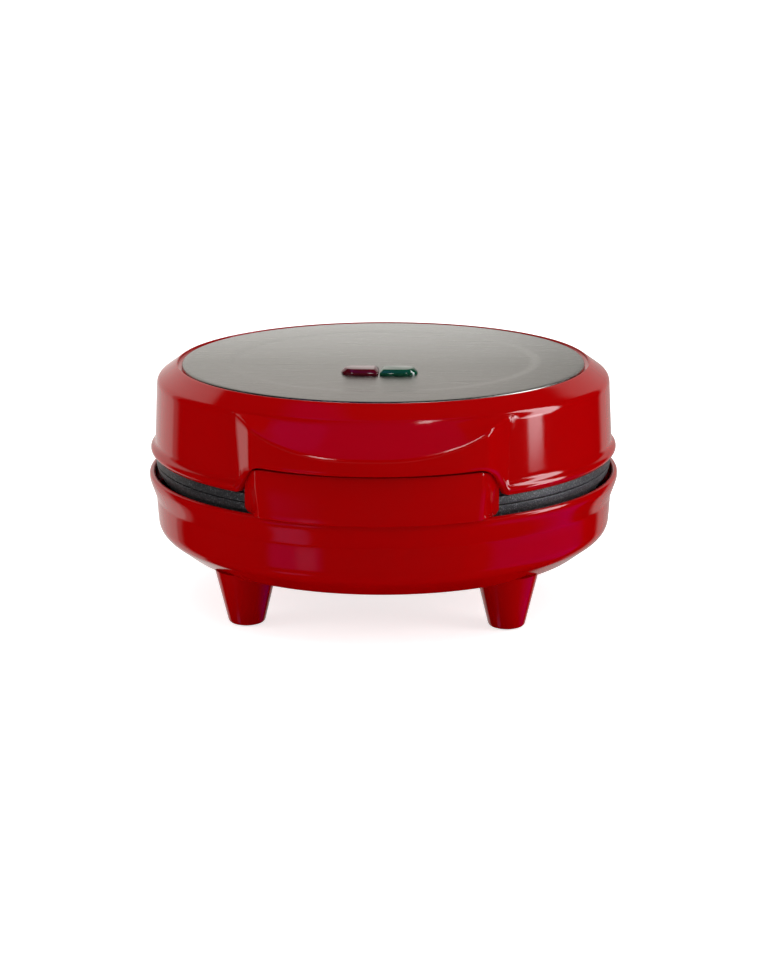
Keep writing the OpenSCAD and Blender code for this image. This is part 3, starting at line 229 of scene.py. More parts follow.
elementSheath = plainFinish(
    "elementSheath", (0.24, 0.21, 0.18, 1), (0.1, 0.09, 0.09, 1), (0.4, 0.6), scale=120.0, metallic=1.0,
    bump=0.2)
brassPlain = plainFinish("brassPlain", (0.72, 0.5, 0.2, 1), (0.6, 0.4, 0.15, 1), (0.25, 0.4), metallic=1.0)
leadBrown = plainFinish("leadBrown", (0.13, 0.045, 0.02, 1), (0.1, 0.035, 0.015, 1), (0.35, 0.5))
leadBlue = plainFinish("leadBlue", (0.02, 0.08, 0.4, 1), (0.015, 0.06, 0.33, 1), (0.35, 0.5))
leadGreen = plainFinish("leadGreen", (0.1, 0.36, 0.04, 1), (0.3, 0.4, 0.03, 1), (0.35, 0.5))


def lampMaterial():
    # Thin clear glass with faint draw marks
    material, tree, shader = newMaterial(
        "lampGlass", Transmission_Weight=1.0, Base_Color=(0.95, 0.9, 0.85, 1))
    marks = useGroup(tree, mottle, {"Scale": 300.0, "Low": 0.03, "High": 0.09, "Sharpness": 0.5})
    tree.links.new(marks.outputs["Value"], shader.inputs["Roughness"])
    return material


def braidMaterial():
    material, tree, shader = newMaterial("braidedSleeve", Roughness=0.85)
    place = addNode(tree, "ShaderNodeTexCoord")
    weave = addNode(tree, "ShaderNodeTexVoronoi", {"Vector": place.outputs["Object"], "Scale": 1400.0})
    tinted(tree, shader, weave.outputs["Distance"], 0.0, 0.7, (0.72, 0.69, 0.6, 1), (0.4, 0.38, 0.33, 1))
    addBump(tree, shader, weave.outputs["Distance"], 0.6, 0.0003)
    return material


def plateMaterial():
    material, tree, shader = newMaterial("coatedCastAluminium", Metallic=0.25, Specular_IOR_Level=0.45)
    grain = useGroup(tree, castGrain, {
        "Scale": 1500.0, "Ground": (0.038, 0.039, 0.042, 1), "Fleck": (0.36, 0.37, 0.38, 1), "Flecks": 0.55})
    patches = useGroup(tree, mottle, {"Scale": 120.0, "Low": 0.38, "High": 0.55, "Sharpness": 0.3})
    tree.links.new(grain.outputs["Color"], shader.inputs["Base Color"])
    tree.links.new(patches.outputs["Value"], shader.inputs["Roughness"])
    addBump(tree, shader, grain.outputs["Height"], 0.35, 0.0004)
    return material


def discMaterial():
    # Satin steel whose base colour is painted lighter at the back and darker towards the front: a painted
    # reflection of a pale horizon behind and a dim room in front
    material, tree, shader = newMaterial("brushedSteelDisc", Metallic=1.0)
    lines = useGroup(tree, brushLines, {"Scale": 2600.0, "Stretch": 0.012, "Low": 0.24, "High": 0.34})
    tree.links.new(lines.outputs["Value"], shader.inputs["Roughness"])
    place = addNode(tree, "ShaderNodeTexCoord")
    split = addNode(tree, "ShaderNodeSeparateXYZ", {0: place.outputs["Object"]})
    # Painted reflection: the base colour grows lighter towards the back of the disc, mixed with the brush
    # streaks
    back = rangeNode(tree, split.outputs["Y"], -0.09, 0.09)
    brushAndPaintedReflection = mathNode(tree, "MULTIPLY_ADD", lines.outputs["Height"], 0.10, back)
    ramp = addNode(tree, "ShaderNodeValToRGB", {0: brushAndPaintedReflection})
    # Painted reflection tones: darkest at the front, palest at the back
    paintedReflectionTones = ((0.05, (0.235, 0.23, 0.21, 1)), (0.5, (0.315, 0.33, 0.307, 1)), (1.0, (0.61, 0.645, 0.632, 1)))
    ramp.color_ramp.elements[0].position, ramp.color_ramp.elements[0].color = paintedReflectionTones[0]
    ramp.color_ramp.elements[1].position, ramp.color_ramp.elements[1].color = paintedReflectionTones[2]
    ramp.color_ramp.elements.new(paintedReflectionTones[1][0]).color = paintedReflectionTones[1][1]
    tree.links.new(ramp.outputs[0], shader.inputs["Base Color"])
    addBump(tree, shader, lines.outputs["Height"], 0.02, 0.0002)
    return material


def lensMaterial(name, color, depthColor):
    material, tree, shader = newMaterial(
        name, Roughness=0.06, Specular_IOR_Level=0.6, Coat_Weight=0.3, Coat_Roughness=0.05)
    patches = useGroup(tree, mottle, {"Scale": 240.0, "Low": 0.05, "High": 0.14, "Sharpness": 0.4})
    tree.links.new(patches.outputs["Value"], shader.inputs["Roughness"])
    tinted(tree, shader, patches.outputs["Height"], 0.35, 0.65, color, depthColor)
    return material


lampGlass = lampMaterial()
braidedSleeve = braidMaterial()
coatedCast = plateMaterial()
brushedDisc = discMaterial()
redLensPlastic = lensMaterial("redLensPlastic", (0.12, 0.004, 0.012, 1), (0.08, 0.003, 0.009, 1))
greenLensPlastic = lensMaterial("greenLensPlastic", (0.004, 0.09, 0.045, 1), (0.003, 0.06, 0.03, 1))
print("materials ready")

# The finish of every solid, for those that stay as they are and for those that get a dress
nodeFinishes = [
    (redPlastic, "base_shell lid_shell handle_grip"),
    (redPlastic, "front_left_foot front_right_foot rear_left_foot rear_right_foot"),
    (brushedDisc, "top_disc"),
    (redLensPlastic, "red_lens"),
    (greenLensPlastic, "green_lens"),
    (coatedCast, "lower_plate upper_plate"),
    (rubberBlack, "front_left_foot_pad front_right_foot_pad rear_left_foot_pad rear_right_foot_pad"),
    (inletNylon, "cord_inlet_bush"),
    (pinSteel, "left_hinge_pin right_hinge_pin"),
    (elementSheath, "lower_element upper_element"),
    (brightAluminium, "lower_reflector upper_reflector"),
    (zincSteel, "lower_element_clamps upper_element_clamps lower_clamp_screws upper_clamp_screws"),
    (zincSteel, "lower_plate_screws upper_plate_screws thermostat_screws terminal_block_screws"),
    (zincSteel, "earth_screw disc_clips"),
    (zincSteel, "lamp_holder_screws handle_screws fuse_clip"),
    (ceramicWhite, "thermostat"),
    (naturalNylon, "terminal_block lamp_holder"),
    (brassPlain, "terminal_screws earth_lug thermal_fuse"),
    (lampGlass, "red_lamp green_lamp"),
    (leadBrown, "live_lead switched_lead"),
    (leadBlue, "neutral_lead"),
    (leadGreen, "earth_lead"),
    (braidedSleeve, "base_hinge_lead lid_hinge_lead element_leads lamp_leads"),
]
for finish, names in nodeFinishes:
    for name in names.split():
        cadNodes[name].data.materials.clear()
        cadNodes[name].data.materials.append(finish)


def arcPoints(x, z, r, start, end, count):
    turns = [radians(start + (end - start) * i / count) for i in range(count + 1)]
    return [(x + r * cos(a), z + r * sin(a)) for a in turns]


def softCorner(a, corner, b, count):
    # Points on a soft curve from a to b, drawn towards the corner
    made = []
    for i in range(count + 1):
        t = i / count
        made.append(tuple(
            (1 - t) ** 2 * p + 2 * t * (1 - t) * q + t * t * r for p, q, r in zip(a, corner, b)))
    return made


def between(points, x):
    # Smooth value at x of a curve through the points
    if x <= points[0][0]:
        return points[0][1]
    for i in range(len(points) - 1):
        (x0, y0), (x1, y1) = points[i], points[i + 1]
        if x <= x1:
            before = points[i - 1] if i else (2 * x0 - x1, y0)
            after = points[i + 2] if i + 2 < len(points) else (2 * x1 - x0, 2 * y1 - y0)
            s0 = (y1 - before[1]) / (x1 - before[0])
            s1 = (after[1] - y0) / (after[0] - x0)
            t, d = (x - x0) / (x1 - x0), x1 - x0
            return ((1 + 2 * t) * (1 - t) ** 2 * y0 + t * (1 - t) ** 2 * d * s0
                    + t * t * (3 - 2 * t) * y1 + t * t * (t - 1) * d * s1)
    return points[-1][1]


def bareMesh(name, points, faces, material, sharp=40.0):
    mesh = bpy.data.meshes.new(name)
    mesh.from_pydata([(x * mm, y * mm, z * mm) for x, y, z in points], [], faces)
    work = bmesh.new()
    work.from_mesh(mesh)
    bmesh.ops.remove_doubles(work, verts=work.verts, dist=2e-6)
    bmesh.ops.dissolve_degenerate(work, edges=work.edges, dist=1e-6)
    bmesh.ops.recalc_face_normals(work, faces=work.faces)
    work.to_mesh(mesh)
    work.free()
    mesh.materials.clear()
    mesh.materials.append(material)
    mesh.shade_smooth()
    mesh.set_sharp_from_angle(angle=radians(sharp))
    return mesh


def newObject(name, mesh):
    made = bpy.data.objects.new(name, mesh)
    scene.collection.objects.link(made)
    return made


def bevelled(piece, width):
    bevel = piece.modifiers.new("edges", "BEVEL")
    bevel.width = width * mm
    bevel.segments = 3
    bevel.limit_method = "ANGLE"
    bevel.angle_limit = radians(32)
    bevel.harden_normals = True
    return piece


def settled(piece):
    # The piece with its modifiers made part of its mesh
    graph = bpy.context.evaluated_depsgraph_get()
    mesh = bpy.data.meshes.new_from_object(piece.evaluated_get(graph))
    piece.modifiers.clear()
    piece.data = mesh
    return piece


def joined(name, pieces):
    # One object from several
    work = bmesh.new()
    for p in pieces:
        work.from_mesh(p.data)
    mesh = bpy.data.meshes.new(name)
    work.to_mesh(mesh)
    work.free()
    mesh.materials.append(pieces[0].data.materials[0])
    for p in pieces:
        bpy.data.objects.remove(p)
    mesh.shade_smooth()
    mesh.set_sharp_from_angle(angle=radians(40))
    return newObject(name, mesh)


def lathe(profile, columns):
    # Points and faces of a profile of radius and height turned round Z; radius 0 is a pole
    points, rows, faces = [], [], []
    for r, z in profile:
        if r < 1e-6:
            rows.append([len(points)] * columns)
            points.append((0, 0, z))
        else:
            rows.append(list(range(len(points), len(points) + columns)))
            turns = [2 * pi * k / columns for k in range(columns)]
            points += [(r * cos(a), r * sin(a), z) for a in turns]
    for upper, lower in zip(rows, rows[1:]):
        for k in range(columns):
            n = (k + 1) % columns
            face = []
            for v in (upper[k], upper[n], lower[n], lower[k]):
                if v not in face:
                    face.append(v)
            if len(face) > 2:
                faces.append(face)
    return points, faces


def dress(piece, body, *nodes, slot=""):
    # The piece rides on its body and takes the place of the plain solids
    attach(piece, body)
    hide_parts(*nodes)
    return piece


def circleTree():
    # Copies of a piece round a circle, each turned outwards, and copies in the middle
    tree = bpy.data.node_groups.new("copiesOnACircle", "GeometryNodeTree")
    face = tree.interface
    face.new_socket("Geometry", in_out="INPUT", socket_type="NodeSocketGeometry")
    for label, kind, start in [
        ("Count", "NodeSocketInt", 6), ("Reach", "NodeSocketFloat", 0.06),
        ("First Angle", "NodeSocketFloat", 0.0), ("Copies In The Middle", "NodeSocketInt", 0),
    ]:
        face.new_socket(label, in_out="INPUT", socket_type=kind).default_value = start
    face.new_socket("Material", in_out="INPUT", socket_type="NodeSocketMaterial")
    face.new_socket("Geometry", in_out="OUTPUT", socket_type="NodeSocketGeometry")
    given, out = tree.nodes.new("NodeGroupInput"), tree.nodes.new("NodeGroupOutput")
    circle = addNode(tree, "GeometryNodeMeshCircle", {
        "Vertices": given.outputs["Count"], "Radius": given.outputs["Reach"]})
    angles = addNode(tree, "ShaderNodeCombineXYZ", {2: given.outputs["First Angle"]})
    turn = addNode(tree, "FunctionNodeEulerToRotation", {0: angles.outputs[0]})
    turned = addNode(tree, "GeometryNodeTransform", {
        "Geometry": circle.outputs[0], "Rotation": turn.outputs[0]})
    middle = addNode(tree, "GeometryNodeMeshLine", {"Count": given.outputs["Copies In The Middle"]})
    places = addNode(tree, "GeometryNodeJoinGeometry")
    tree.links.new(turned.outputs[0], places.inputs[0])
    tree.links.new(middle.outputs[0], places.inputs[0])
    here = addNode(tree, "GeometryNodeInputPosition")
    outward = addNode(tree, "FunctionNodeAlignRotationToVector", {"Vector": here.outputs[0]}, axis="X")
    copies = addNode(tree, "GeometryNodeInstanceOnPoints", {
        "Points": places.outputs[0], "Instance": given.outputs["Geometry"], "Rotation": outward.outputs[0]})
    real = addNode(tree, "GeometryNodeRealizeInstances", {0: copies.outputs[0]})
    coat = addNode(tree, "GeometryNodeSetMaterial", {
        "Geometry": real.outputs[0], "Material": given.outputs["Material"]})
    tree.links.new(coat.outputs[0], out.inputs[0])
    return tree


copiesTree = circleTree()


def copiesOnACircle(piece, count, reach, firstAngle, middle=0):
    modifier = piece.modifiers.new("copies", "NODES")
    modifier.node_group = copiesTree
    values = {"Count": count, "Reach": reach * mm, "First Angle": radians(firstAngle),
              "Copies In The Middle": middle, "Material": piece.data.materials[0]}
    for item in copiesTree.interface.items_tree:
        if item.in_out == "INPUT" and item.name in values:
            modifier[item.identifier] = values[item.name]
    return settled(piece)


# Lid shell, its front brow and the notch below it, in mm and degrees
lid = {
    "ring": 90.6,
    "crest": 104.9,
    "deck": 103.4,
    "deckUnder": 101.2,
    "slope": 35.5,
    "roundR": 4.0,
    "roundCentre": (95.8, 96.2776),
    "wallLow": 101.0,
    "flareTop": 72.5,
    "flareSlopes": (0.05, 1.45),
    "bead": (101.4, 67.6, 1.7),
    "beadJoin": 1.4,
    "beadFoot": 1.3,
    "skirt": 65.0,
    "skirtInner": 99.4,
    "wall": 2.2,
    "edgeRound": 0.7,
    "soft": 0.12,
    "wallRows": (94.5, 93.9),
    "plainStart": 39.6,
    "plainColumns": 94,
}
brow = {
    "frontCentre": (0.0, -28.0, 84.0),
    "corner": (41.3803, -89.3488, 10.0),
    "blend": (60.477, -85.838, 5.0),
    "frontAngle": 34.0,
    "flankAngle": 61.0,
    "wallAngle": 35.17,
    "upperAngle": 33.0,
    "lowerEdge": [(0, 85.2), (15, 85.4), (26, 86.6), (32, 87.9), (40, 90.2), (47, 93.5), (51.4, 96.0),
                  (55, 97.4), (57.6, 97.7)],
    "edgeRows": (97.6, 97.2),
    "fade": [(0.08, 35.4), (0.2, 35.9), (0.4, 36.5), (0.65, 37.3), (0.85, 38.3)],
    "edgeRound": 1.3,
}
notch = {"top": 78.7, "halfWidth": 44.5, "round": 8.5, "slant": 25.0, "rim": 1.7, "rimDepth": 1.0}


def lidWall(z):
    # Radius of the plain lid at a height
    cr, cz = lid["roundCentre"]
    br, bz, b = lid["bead"]
    join, foot = lid["beadJoin"], lid["beadFoot"]
    top, low = cr + lid["roundR"], lid["wallLow"]
    if z >= cz:
        return cr + sqrt(max(0.0, lid["roundR"] ** 2 - (z - cz) ** 2))
    if z >= lid["flareTop"]:
        return top + (low - top) * (cz - z) / (cz - lid["flareTop"])
    joinZ = bz + join
    if z >= joinZ:
        span = lid["flareTop"] - joinZ
        joinR = br + sqrt(b * b - join ** 2)
        t = (lid["flareTop"] - z) / span
        first, last = lid["flareSlopes"]
        return ((1 + 2 * t) * (1 - t) ** 2 * low + t * (1 - t) ** 2 * span * first
                + t * t * (3 - 2 * t) * joinR + t * t * (t - 1) * span * last)
    if z >= bz - foot:
        return br + sqrt(b * b - (z - bz) ** 2)
    return br + (sqrt(b * b - foot ** 2)) * (z - lid["skirt"]) / (bz - foot - lid["skirt"])


def notchHeight(x):
    # Height of the shell's lower edge at a distance from the middle
    x = abs(x)
    cz = notch["top"] - notch["round"]
    slant = radians(notch["slant"])
    turnX = notch["halfWidth"] + notch["round"] * cos(slant)
    if x <= notch["halfWidth"]:
        return notch["top"]
    if x <= turnX:
        return cz + sqrt(notch["round"] ** 2 - (x - notch["halfWidth"]) ** 2)
    return max(lid["skirt"], cz + notch["round"] * sin(slant) - (x - turnX) / tan(slant))


def browPlan():
    # Points of the brow's right half in plan with their outward normals, from the middle to the wall
    cx, cy, r = brow["frontCentre"]
    made = []
    for i in range(19):
        a = radians(-90 + brow["frontAngle"] * i / 18)
        made.append((cx + r * cos(a), cy + r * sin(a), cos(a), sin(a)))
    flank = radians(brow["flankAngle"])
    kx, ky, k = brow["corner"]
    start = radians(brow["frontAngle"])
    for i in range(1, 12):
        a = start + (flank - start) * i / 11
        made.append((kx + k * sin(a), ky - k * cos(a), sin(a), -cos(a)))
    bx, by, b = brow["blend"]
    x0, y0 = made[-1][:2]
    x1, y1 = bx - b * sin(flank), by + b * cos(flank)
    for i in range(1, 8):
        t = i / 7
        made.append((x0 + (x1 - x0) * t, y0 + (y1 - y0) * t, sin(flank), -cos(flank)))
    for i in range(1, 11):
        a = flank + (radians(brow["wallAngle"]) - flank) * i / 10
        made.append((bx - b * sin(a), by + b * cos(a), sin(a), -cos(a)))
    return made


# Heights of the wall's rows, closer together in the flare and the bead
lidRows = [92, 89, 86, 82, 78, 75, 73.3, 72.5, 71.9, 71.3, 70.7, 70.1, 69.6, 69.2, 68.8, 68.3, 67.8,
           67.3, 66.8, 66.3, 66.0, 65.7]


def lidColumn(x, y, normal, spread):
    # One closed line of the shell, from the middle of its top round the skirt to the middle of its underside.
    # spread is 0 on the brow and grows to 1 on the plain wall.
    reach = hypot(x, y)
    ux, uy = x / reach, y / reach
    cr, cz = lid["roundCentre"]
    slope = radians(lid["slope"])

    def wall(z):
        # The plain wall or this column's own reach, whichever is further out, with a soft change
        a, b = lidWall(z), reach
        return 0.5 * (a + b + sqrt((a - b) ** 2 + lid["soft"]))

    def blendTo(a, b):
        return a + (b - a) * spread

    flat = [(88, lid["deck"]), (90.3, lid["deck"]), (lid["ring"], lid["deck"] + 0.3), (lid["ring"], 104.3)]
    flat += softCorner((lid["ring"], 104.4), (lid["ring"], lid["crest"]),
                       (91.3, lid["crest"] - 0.7 * tan(slope)), 4)
    flat += [(r, lid["crest"] - (r - lid["ring"]) * tan(slope)) for r in (92.6, 94.4, 96.2)]
    last = blendTo(brow["upperAngle"], 0.0)
    flat += [(cr + lid["roundR"] * cos(a), cz + lid["roundR"] * sin(a))
             for a in (radians(90 - lid["slope"] + (last - 90 + lid["slope"]) * i / 8) for i in range(9))]
    ur, uz = flat[-1]
    if spread == 0:
        lowZ = between(brow["lowerEdge"], abs(x))
        lowR = max(reach, wall(lowZ) - 0.1)
        gap = hypot(lowR - ur, lowZ - uz)
        e = min(brow["edgeRound"], 0.35 * gap)
        start = (lowR + (ur - lowR) * e / gap, lowZ + (uz - lowZ) * e / gap)
        flat += [(ur + (start[0] - ur) * i / 6, uz + (start[1] - uz) * i / 6) for i in range(1, 7)]
        flat += softCorner(start, (lowR, lowZ), (wall(lowZ - e), lowZ - e), 4)[1:]
        topZ = lowZ - e
    else:
        z1, topZ = [blendTo(a, b) for a, b in zip(brow["edgeRows"], lid["wallRows"])]
        flat += [(wall(z), z) for z in (uz + (z1 - uz) * i / 6 for i in range(1, 7))]
        flat += [(wall(z), z) for z in (z1 + (topZ - z1) * i / 4 for i in range(1, 5))]
    # The height at which this column meets the notch
    edgeZ = lid["skirt"]
    for _ in range(40):
        edgeZ = notchHeight(wall(edgeZ) * ux)
    edgeX = wall(edgeZ) * ux
    steep = hypot(1.0, (notchHeight(edgeX + 0.05) - notchHeight(edgeX - 0.05)) / 0.1)
    share = min(1.0, max(0.0, (edgeZ - lid["skirt"] - 0.2) / 3.0))
    rim = (lid["edgeRound"] + (notch["rim"] - lid["edgeRound"]) * share) * min(steep, 2.4)
    depth = lid["edgeRound"] + (notch["rimDepth"] - lid["edgeRound"]) * share
    stopZ = edgeZ + rim
    rowTop, rowLow = lid["wallRows"][1], lidRows[-1]
    for z in lidRows:
        share = (rowTop - z) / (rowTop - rowLow)
        flat.append((wall(topZ + (stopZ - topZ) * share), topZ + (stopZ - topZ) * share))
    line = [(r * ux, r * uy, z) for r, z in flat]
    # The shell's lower edge and its inner side
    nx, ny = normal
    t = lid["wall"]
    inX, inY = x - t * nx, y - t * ny
    plain = lid["skirtInner"]
    inX, inY = blendTo(inX, plain * ux), blendTo(inY, plain * uy)
    inReach = hypot(inX, inY)
    vx, vy = inX / inReach, inY / inReach
    inZ = min(notchHeight(inX), edgeZ + 0.1)
    outer = Vector((wall(edgeZ) * ux, wall(edgeZ) * uy, edgeZ))
    inner = Vector((inX, inY, inZ))
    across = (inner - outer).normalized()
    line += softCorner(line[-1], tuple(outer), tuple(outer + across * depth), 5)[1:]
    rise = Vector((0, 0, 0.5))
    line += softCorner(tuple(inner - across * 0.5), tuple(inner), tuple(inner + rise), 2)
    inTop = blendTo(between(brow["lowerEdge"], abs(x)) - 3.0, 91.0)
    topR = blendTo(inReach, 97.6)
    for i in range(1, 5):
        s = i / 4
        r = inReach + (topR - inReach) * s
        line.append((r * vx, r * vy, inZ + 0.5 + (inTop - inZ - 0.5) * s))
    line += [(r * ux, r * uy, z) for r, z in ((97.0, 95.6), (96.0, 97.3), (90.0, lid["deckUnder"]))]
    return line


def lidShellMesh():
    right = [(x, y, (nx, ny), 0.0) for x, y, nx, ny in browPlan()]
    for spread, angle in brow["fade"]:
        a = radians(angle)
        r = 100 - 1.5 * spread
        right.append((r * sin(a), -r * cos(a), (sin(a), -cos(a)), spread))
    first, count = lid["plainStart"], lid["plainColumns"]
    for i in range(count):
        a = radians(first + (180 - first) * i / (count - 1))
        right.append((98 * sin(a), -98 * cos(a), (sin(a), -cos(a)), 1.0))
    left = [(-x, y, (-n[0], n[1]), s) for x, y, n, s in right[-2:0:-1]]
    columns = [lidColumn(*c) for c in right + left]
    rows = len(columns[0])
    points = [(0, 0, lid["deck"]), (0, 0, lid["deckUnder"])]
    for c in columns:
        points += c
    faces = []
    for k in range(len(columns)):
        a, b = 2 + k * rows, 2 + (k + 1) % len(columns) * rows
        faces.append([0, a, b])
        faces += [[a + i, a + i + 1, b + i + 1, b + i] for i in range(rows - 1)]
        faces.append([a + rows - 1, 1, b + rows - 1])
    return bareMesh("lidShell", points, faces, redPlastic, sharp=38.0)


# Hinge knuckles, ears and humps, in mm
hinge = {
    "y": 107.0,
    "z": 61.15,
    "r": 5.0,
    "lidArms": (14.0, 30.3),
    "armWidth": 7.7,
    "baseEars": (22.0,),
    "earWidth": 8.0,
    "front": 92.0,
    "humpHalf": 12.0,
    "neckSplit": 0.15,
    "edge": 0.7,
}


def slabPiece(name, outline, x0, x1, material):
    # A flat outline of Y and Z, given a thickness from x0 to x1 and soft edges
    n = len(outline)
    points = [(x0, y, z) for y, z in outline] + [(x1, y, z) for y, z in outline]
    faces = [list(range(n)), list(range(2 * n - 1, n - 1, -1))]
    faces += [[i, (i + 1) % n, n + (i + 1) % n, n + i] for i in range(n)]
    piece = newObject(name, bareMesh(name, points, faces, material, sharp=35.0))
    return settled(bevelled(piece, hinge["edge"]))


def bothSides(name, outline, starts, width):
    # The same slab on the left and on the right, for each start
    pieces = []
    for x in starts:
        for side in (-1, 1):
            a, b = sorted((side * x, side * (x + width)))
            pieces.append(slabPiece(name, outline, a, b, redPlastic))
    return pieces


def lidHingePieces():
    y, z, r = hinge["y"], hinge["z"], hinge["r"]
    front, half = hinge["front"], hinge["humpHalf"]
    arm = [(front, z + 18), (y - 3, z + 18), (y + r, z + 7)]
    arm += arcPoints(y, z, r, 0, -180, 16) + [(front, z + 6)]
    hump = [(front, z + 6.2), (y, z + 6.2), (y + 4.5, z + 10.2), (y + 4.5, z + 17.2), (y, z + 21.2),
            (front, z + 21.2)]
    neck = [(y - r + 0.5, z + 10.2)] + arcPoints(y, z, r, 180, 360, 16) + [(y + 3.5, z + 10.2)]
    return bothSides("lidArm", arm, hinge["lidArms"], hinge["armWidth"]) + [
        slabPiece("lidHump", hump, -half, half, redPlastic),
        slabPiece("lidNeck", neck, hinge["neckSplit"], half, redPlastic),
    ]


def baseHingePieces():
    y, z, r = hinge["y"], hinge["z"], hinge["r"]
    front, half = hinge["front"], hinge["humpHalf"]
    ear = [(front, z - 16), (y - 3, z - 16), (y + r, z - 6)]
    ear += arcPoints(y, z, r, 0, 180, 16) + [(front, z - 6)]
    hump = [(front, z - 18.6), (y + r - 1, z - 18.6), (y + r, z - 17.6), (y + r, z - 6.2), (front, z - 6.2)]
    neck = [(y + r, z - 7.2)] + arcPoints(y, z, r, 0, 180, 16) + [(y - r, z - 7.2)]
    return bothSides("baseEar", ear, hinge["baseEars"], hinge["earWidth"]) + [
        slabPiece("baseHump", hump, -half, half, redPlastic),
        slabPiece("baseNeck", neck, -half, -hinge["neckSplit"], redPlastic),
    ]


shellPiece = newObject("lidShell", lidShellMesh())
lidPiece = joined("lidShellWithHinge", [shellPiece] + lidHingePieces())
dress(lidPiece, "lid", "lid_shell", slot="red_shell")
print("lid shell", len(lidPiece.data.polygons), "faces")


# Base shell with its feet, vents and inlet collar, in mm
base = {
    "under": 22.2,
    "bevelLow": (88.0, 22.2),
    "bevelHigh": (100.3, 31.6),
    "bevelRound": 4.0,
    "wallTop": 101.1,
    "crease": 46.0,
    "lip": (102.6, 56.0, 1.3),
    "columns": 240,
    "footReach": 79.0,
    "soleR": 7.7,
    "footSlope": 13.5,
    "footEdge": 1.6,
    "ventCount": 7,
    "ventPitch": 8.0,
    "ventWide": 2.8,
    "ventLong": 44.0,
    "ventSpan": (21.0, 26.0),
    "inletZ": 34.0,
    "collar": (96.0, 102.3, 8.5, 5.6),
}


def baseProfile():
    lipX, lipZ, lipR = base["lip"]
    (r0, z0), (r1, z1), e = base["bevelLow"], base["bevelHigh"], base["bevelRound"]
    length = hypot(r1 - r0, z1 - z0)
    ur, uz = (r1 - r0) / length, (z1 - z0) / length
    line = [(0, base["under"]), (40, base["under"]), (r0 - 3, base["under"])]
    line += softCorner((r0 - 2, z0), (r0, z0), (r0 + 2 * ur, z0 + 2 * uz), 5)
    line += [(r0 + (r1 - r0) * t, z0 + (z1 - z0) * t) for t in (0.35, 0.55)]
    line += softCorner((r1 - e * ur, z1 - e * uz), (r1, z1), (r1 + 0.12, z1 + e), 8)
    line += [(100.6, 38.0), (100.85, 42.0)]
    line += softCorner((base["wallTop"] - 0.03, base["crease"] - 0.6), (base["wallTop"], base["crease"]),
                       (base["wallTop"] + 0.2, base["crease"] + 0.6), 2)
    line += [(102.1, 49.0), (103.1, 51.8), (103.6, 53.4), (lipX + lipR, lipZ - 1.5)]
    line += arcPoints(lipX, lipZ, lipR, 0, 180, 14)
    line += [(lipX - lipR, 51.5), (99.2, 50.0), (98.6, 46)]
    line += [(98.1, 34.5), (97.0, 31.5), (88.5, 24.9), (86.5, 24.4), (0, 24.4)]
    return line


def footProfile():
    s = base["soleR"]
    e = base["footEdge"]
    lean = tan(radians(base["footSlope"]))
    line = [(0, 2.0), (5.5, 2.0), (5.5, 0.5), (5.7, 0.4), (s - e, 0.4)]
    line += softCorner((s - e, 0.4), (s, 0.4), (s + e * lean, 0.4 + e), 5)[1:]
    line += [(s + lean * z, 0.4 + z) for z in (8, 16, 24)] + [(0, 26)]
    return line


def cutVents(shell):
    # Slots through the floor of the base
    w, d = base["ventWide"] / 2, base["ventLong"] / 2
    corners = ((-1, -1), (1, -1), (1, 1), (-1, 1))
    points, faces = [], []
    for i in range(base["ventCount"]):
        x = (i - (base["ventCount"] - 1) / 2) * base["ventPitch"]
        k = len(points)
        points += [(x + a * w, b * d, z) for z in base["ventSpan"] for a, b in corners]
        faces += [[k + j for j in f] for f in (
            (3, 2, 1, 0), (4, 5, 6, 7), (0, 1, 5, 4), (1, 2, 6, 5), (2, 3, 7, 6), (3, 0, 4, 7))]
    cutter = newObject("ventCutter", bareMesh("ventCutter", points, faces, redPlastic))
    modifier = shell.modifiers.new("vents", "BOOLEAN")
    modifier.operation, modifier.solver, modifier.object = "DIFFERENCE", "EXACT", cutter
    settled(shell)
    bpy.data.objects.remove(cutter)
    shell.data.set_sharp_from_angle(angle=radians(38))


def basePieces():
    shell = newObject("baseBody", bareMesh(
        "baseBody", *lathe(baseProfile(), base["columns"]), redPlastic, 38.0))
    cutVents(shell)
    foot = newObject("feet", bareMesh("feet", *lathe(footProfile(), 64), redPlastic, 38.0))
    copiesOnACircle(foot, 4, base["footReach"], 45.0)
    # The inlet's collar is turned upright and then laid along Y
    y0, y1, r, bore = base["collar"]
    profile = [(0, y0), (r, y0), (r, y1 - 0.6), (r - 0.2, y1 - 0.2), (r - 0.6, y1), (bore, y1), (bore, y0),
               (0, y0)]
    collar = newObject("collar", bareMesh("collar", *lathe(profile, 48), redPlastic))
    for v in collar.data.vertices:
        x, y, z = v.co
        v.co = (x, z, base["inletZ"] * mm - y)
    return [shell, foot, collar]


basePiece = joined("baseShellWithFeet", basePieces() + baseHingePieces())
dress(basePiece, "base", "base_shell", "front_left_foot", "front_right_foot", "rear_left_foot",
      "rear_right_foot", slot="red_shell")
print("base shell", len(basePiece.data.polygons), "faces")


# Top disc with its shallow dish, in mm
disc = {"r": 88.7, "top": 104.7, "dish": 104.4, "dishStart": 64.0, "dishEnd": 70.0, "columns": 256}


def discProfile():
    r, top, low = disc["r"], disc["top"], disc["dish"]
    start, end = disc["dishStart"], disc["dishEnd"]
    line = [(0, low), (30, low), (start, low)]
    for i in range(1, 9):
        t = i / 8
        line.append((start + (end - start) * t, low + (top - low) * t * t * (3 - 2 * t)))
    line += [(80, top), (86.0, top)]
    line += softCorner((r - 1.6, top), (r, top), (r, top - 1.1), 6)
    line += [(r - 0.1, 103.4), (r - 1.2, 103.4), (r - 1.6, top - 0.8), (60, top - 1.1), (0, low - 0.8)]
    return line


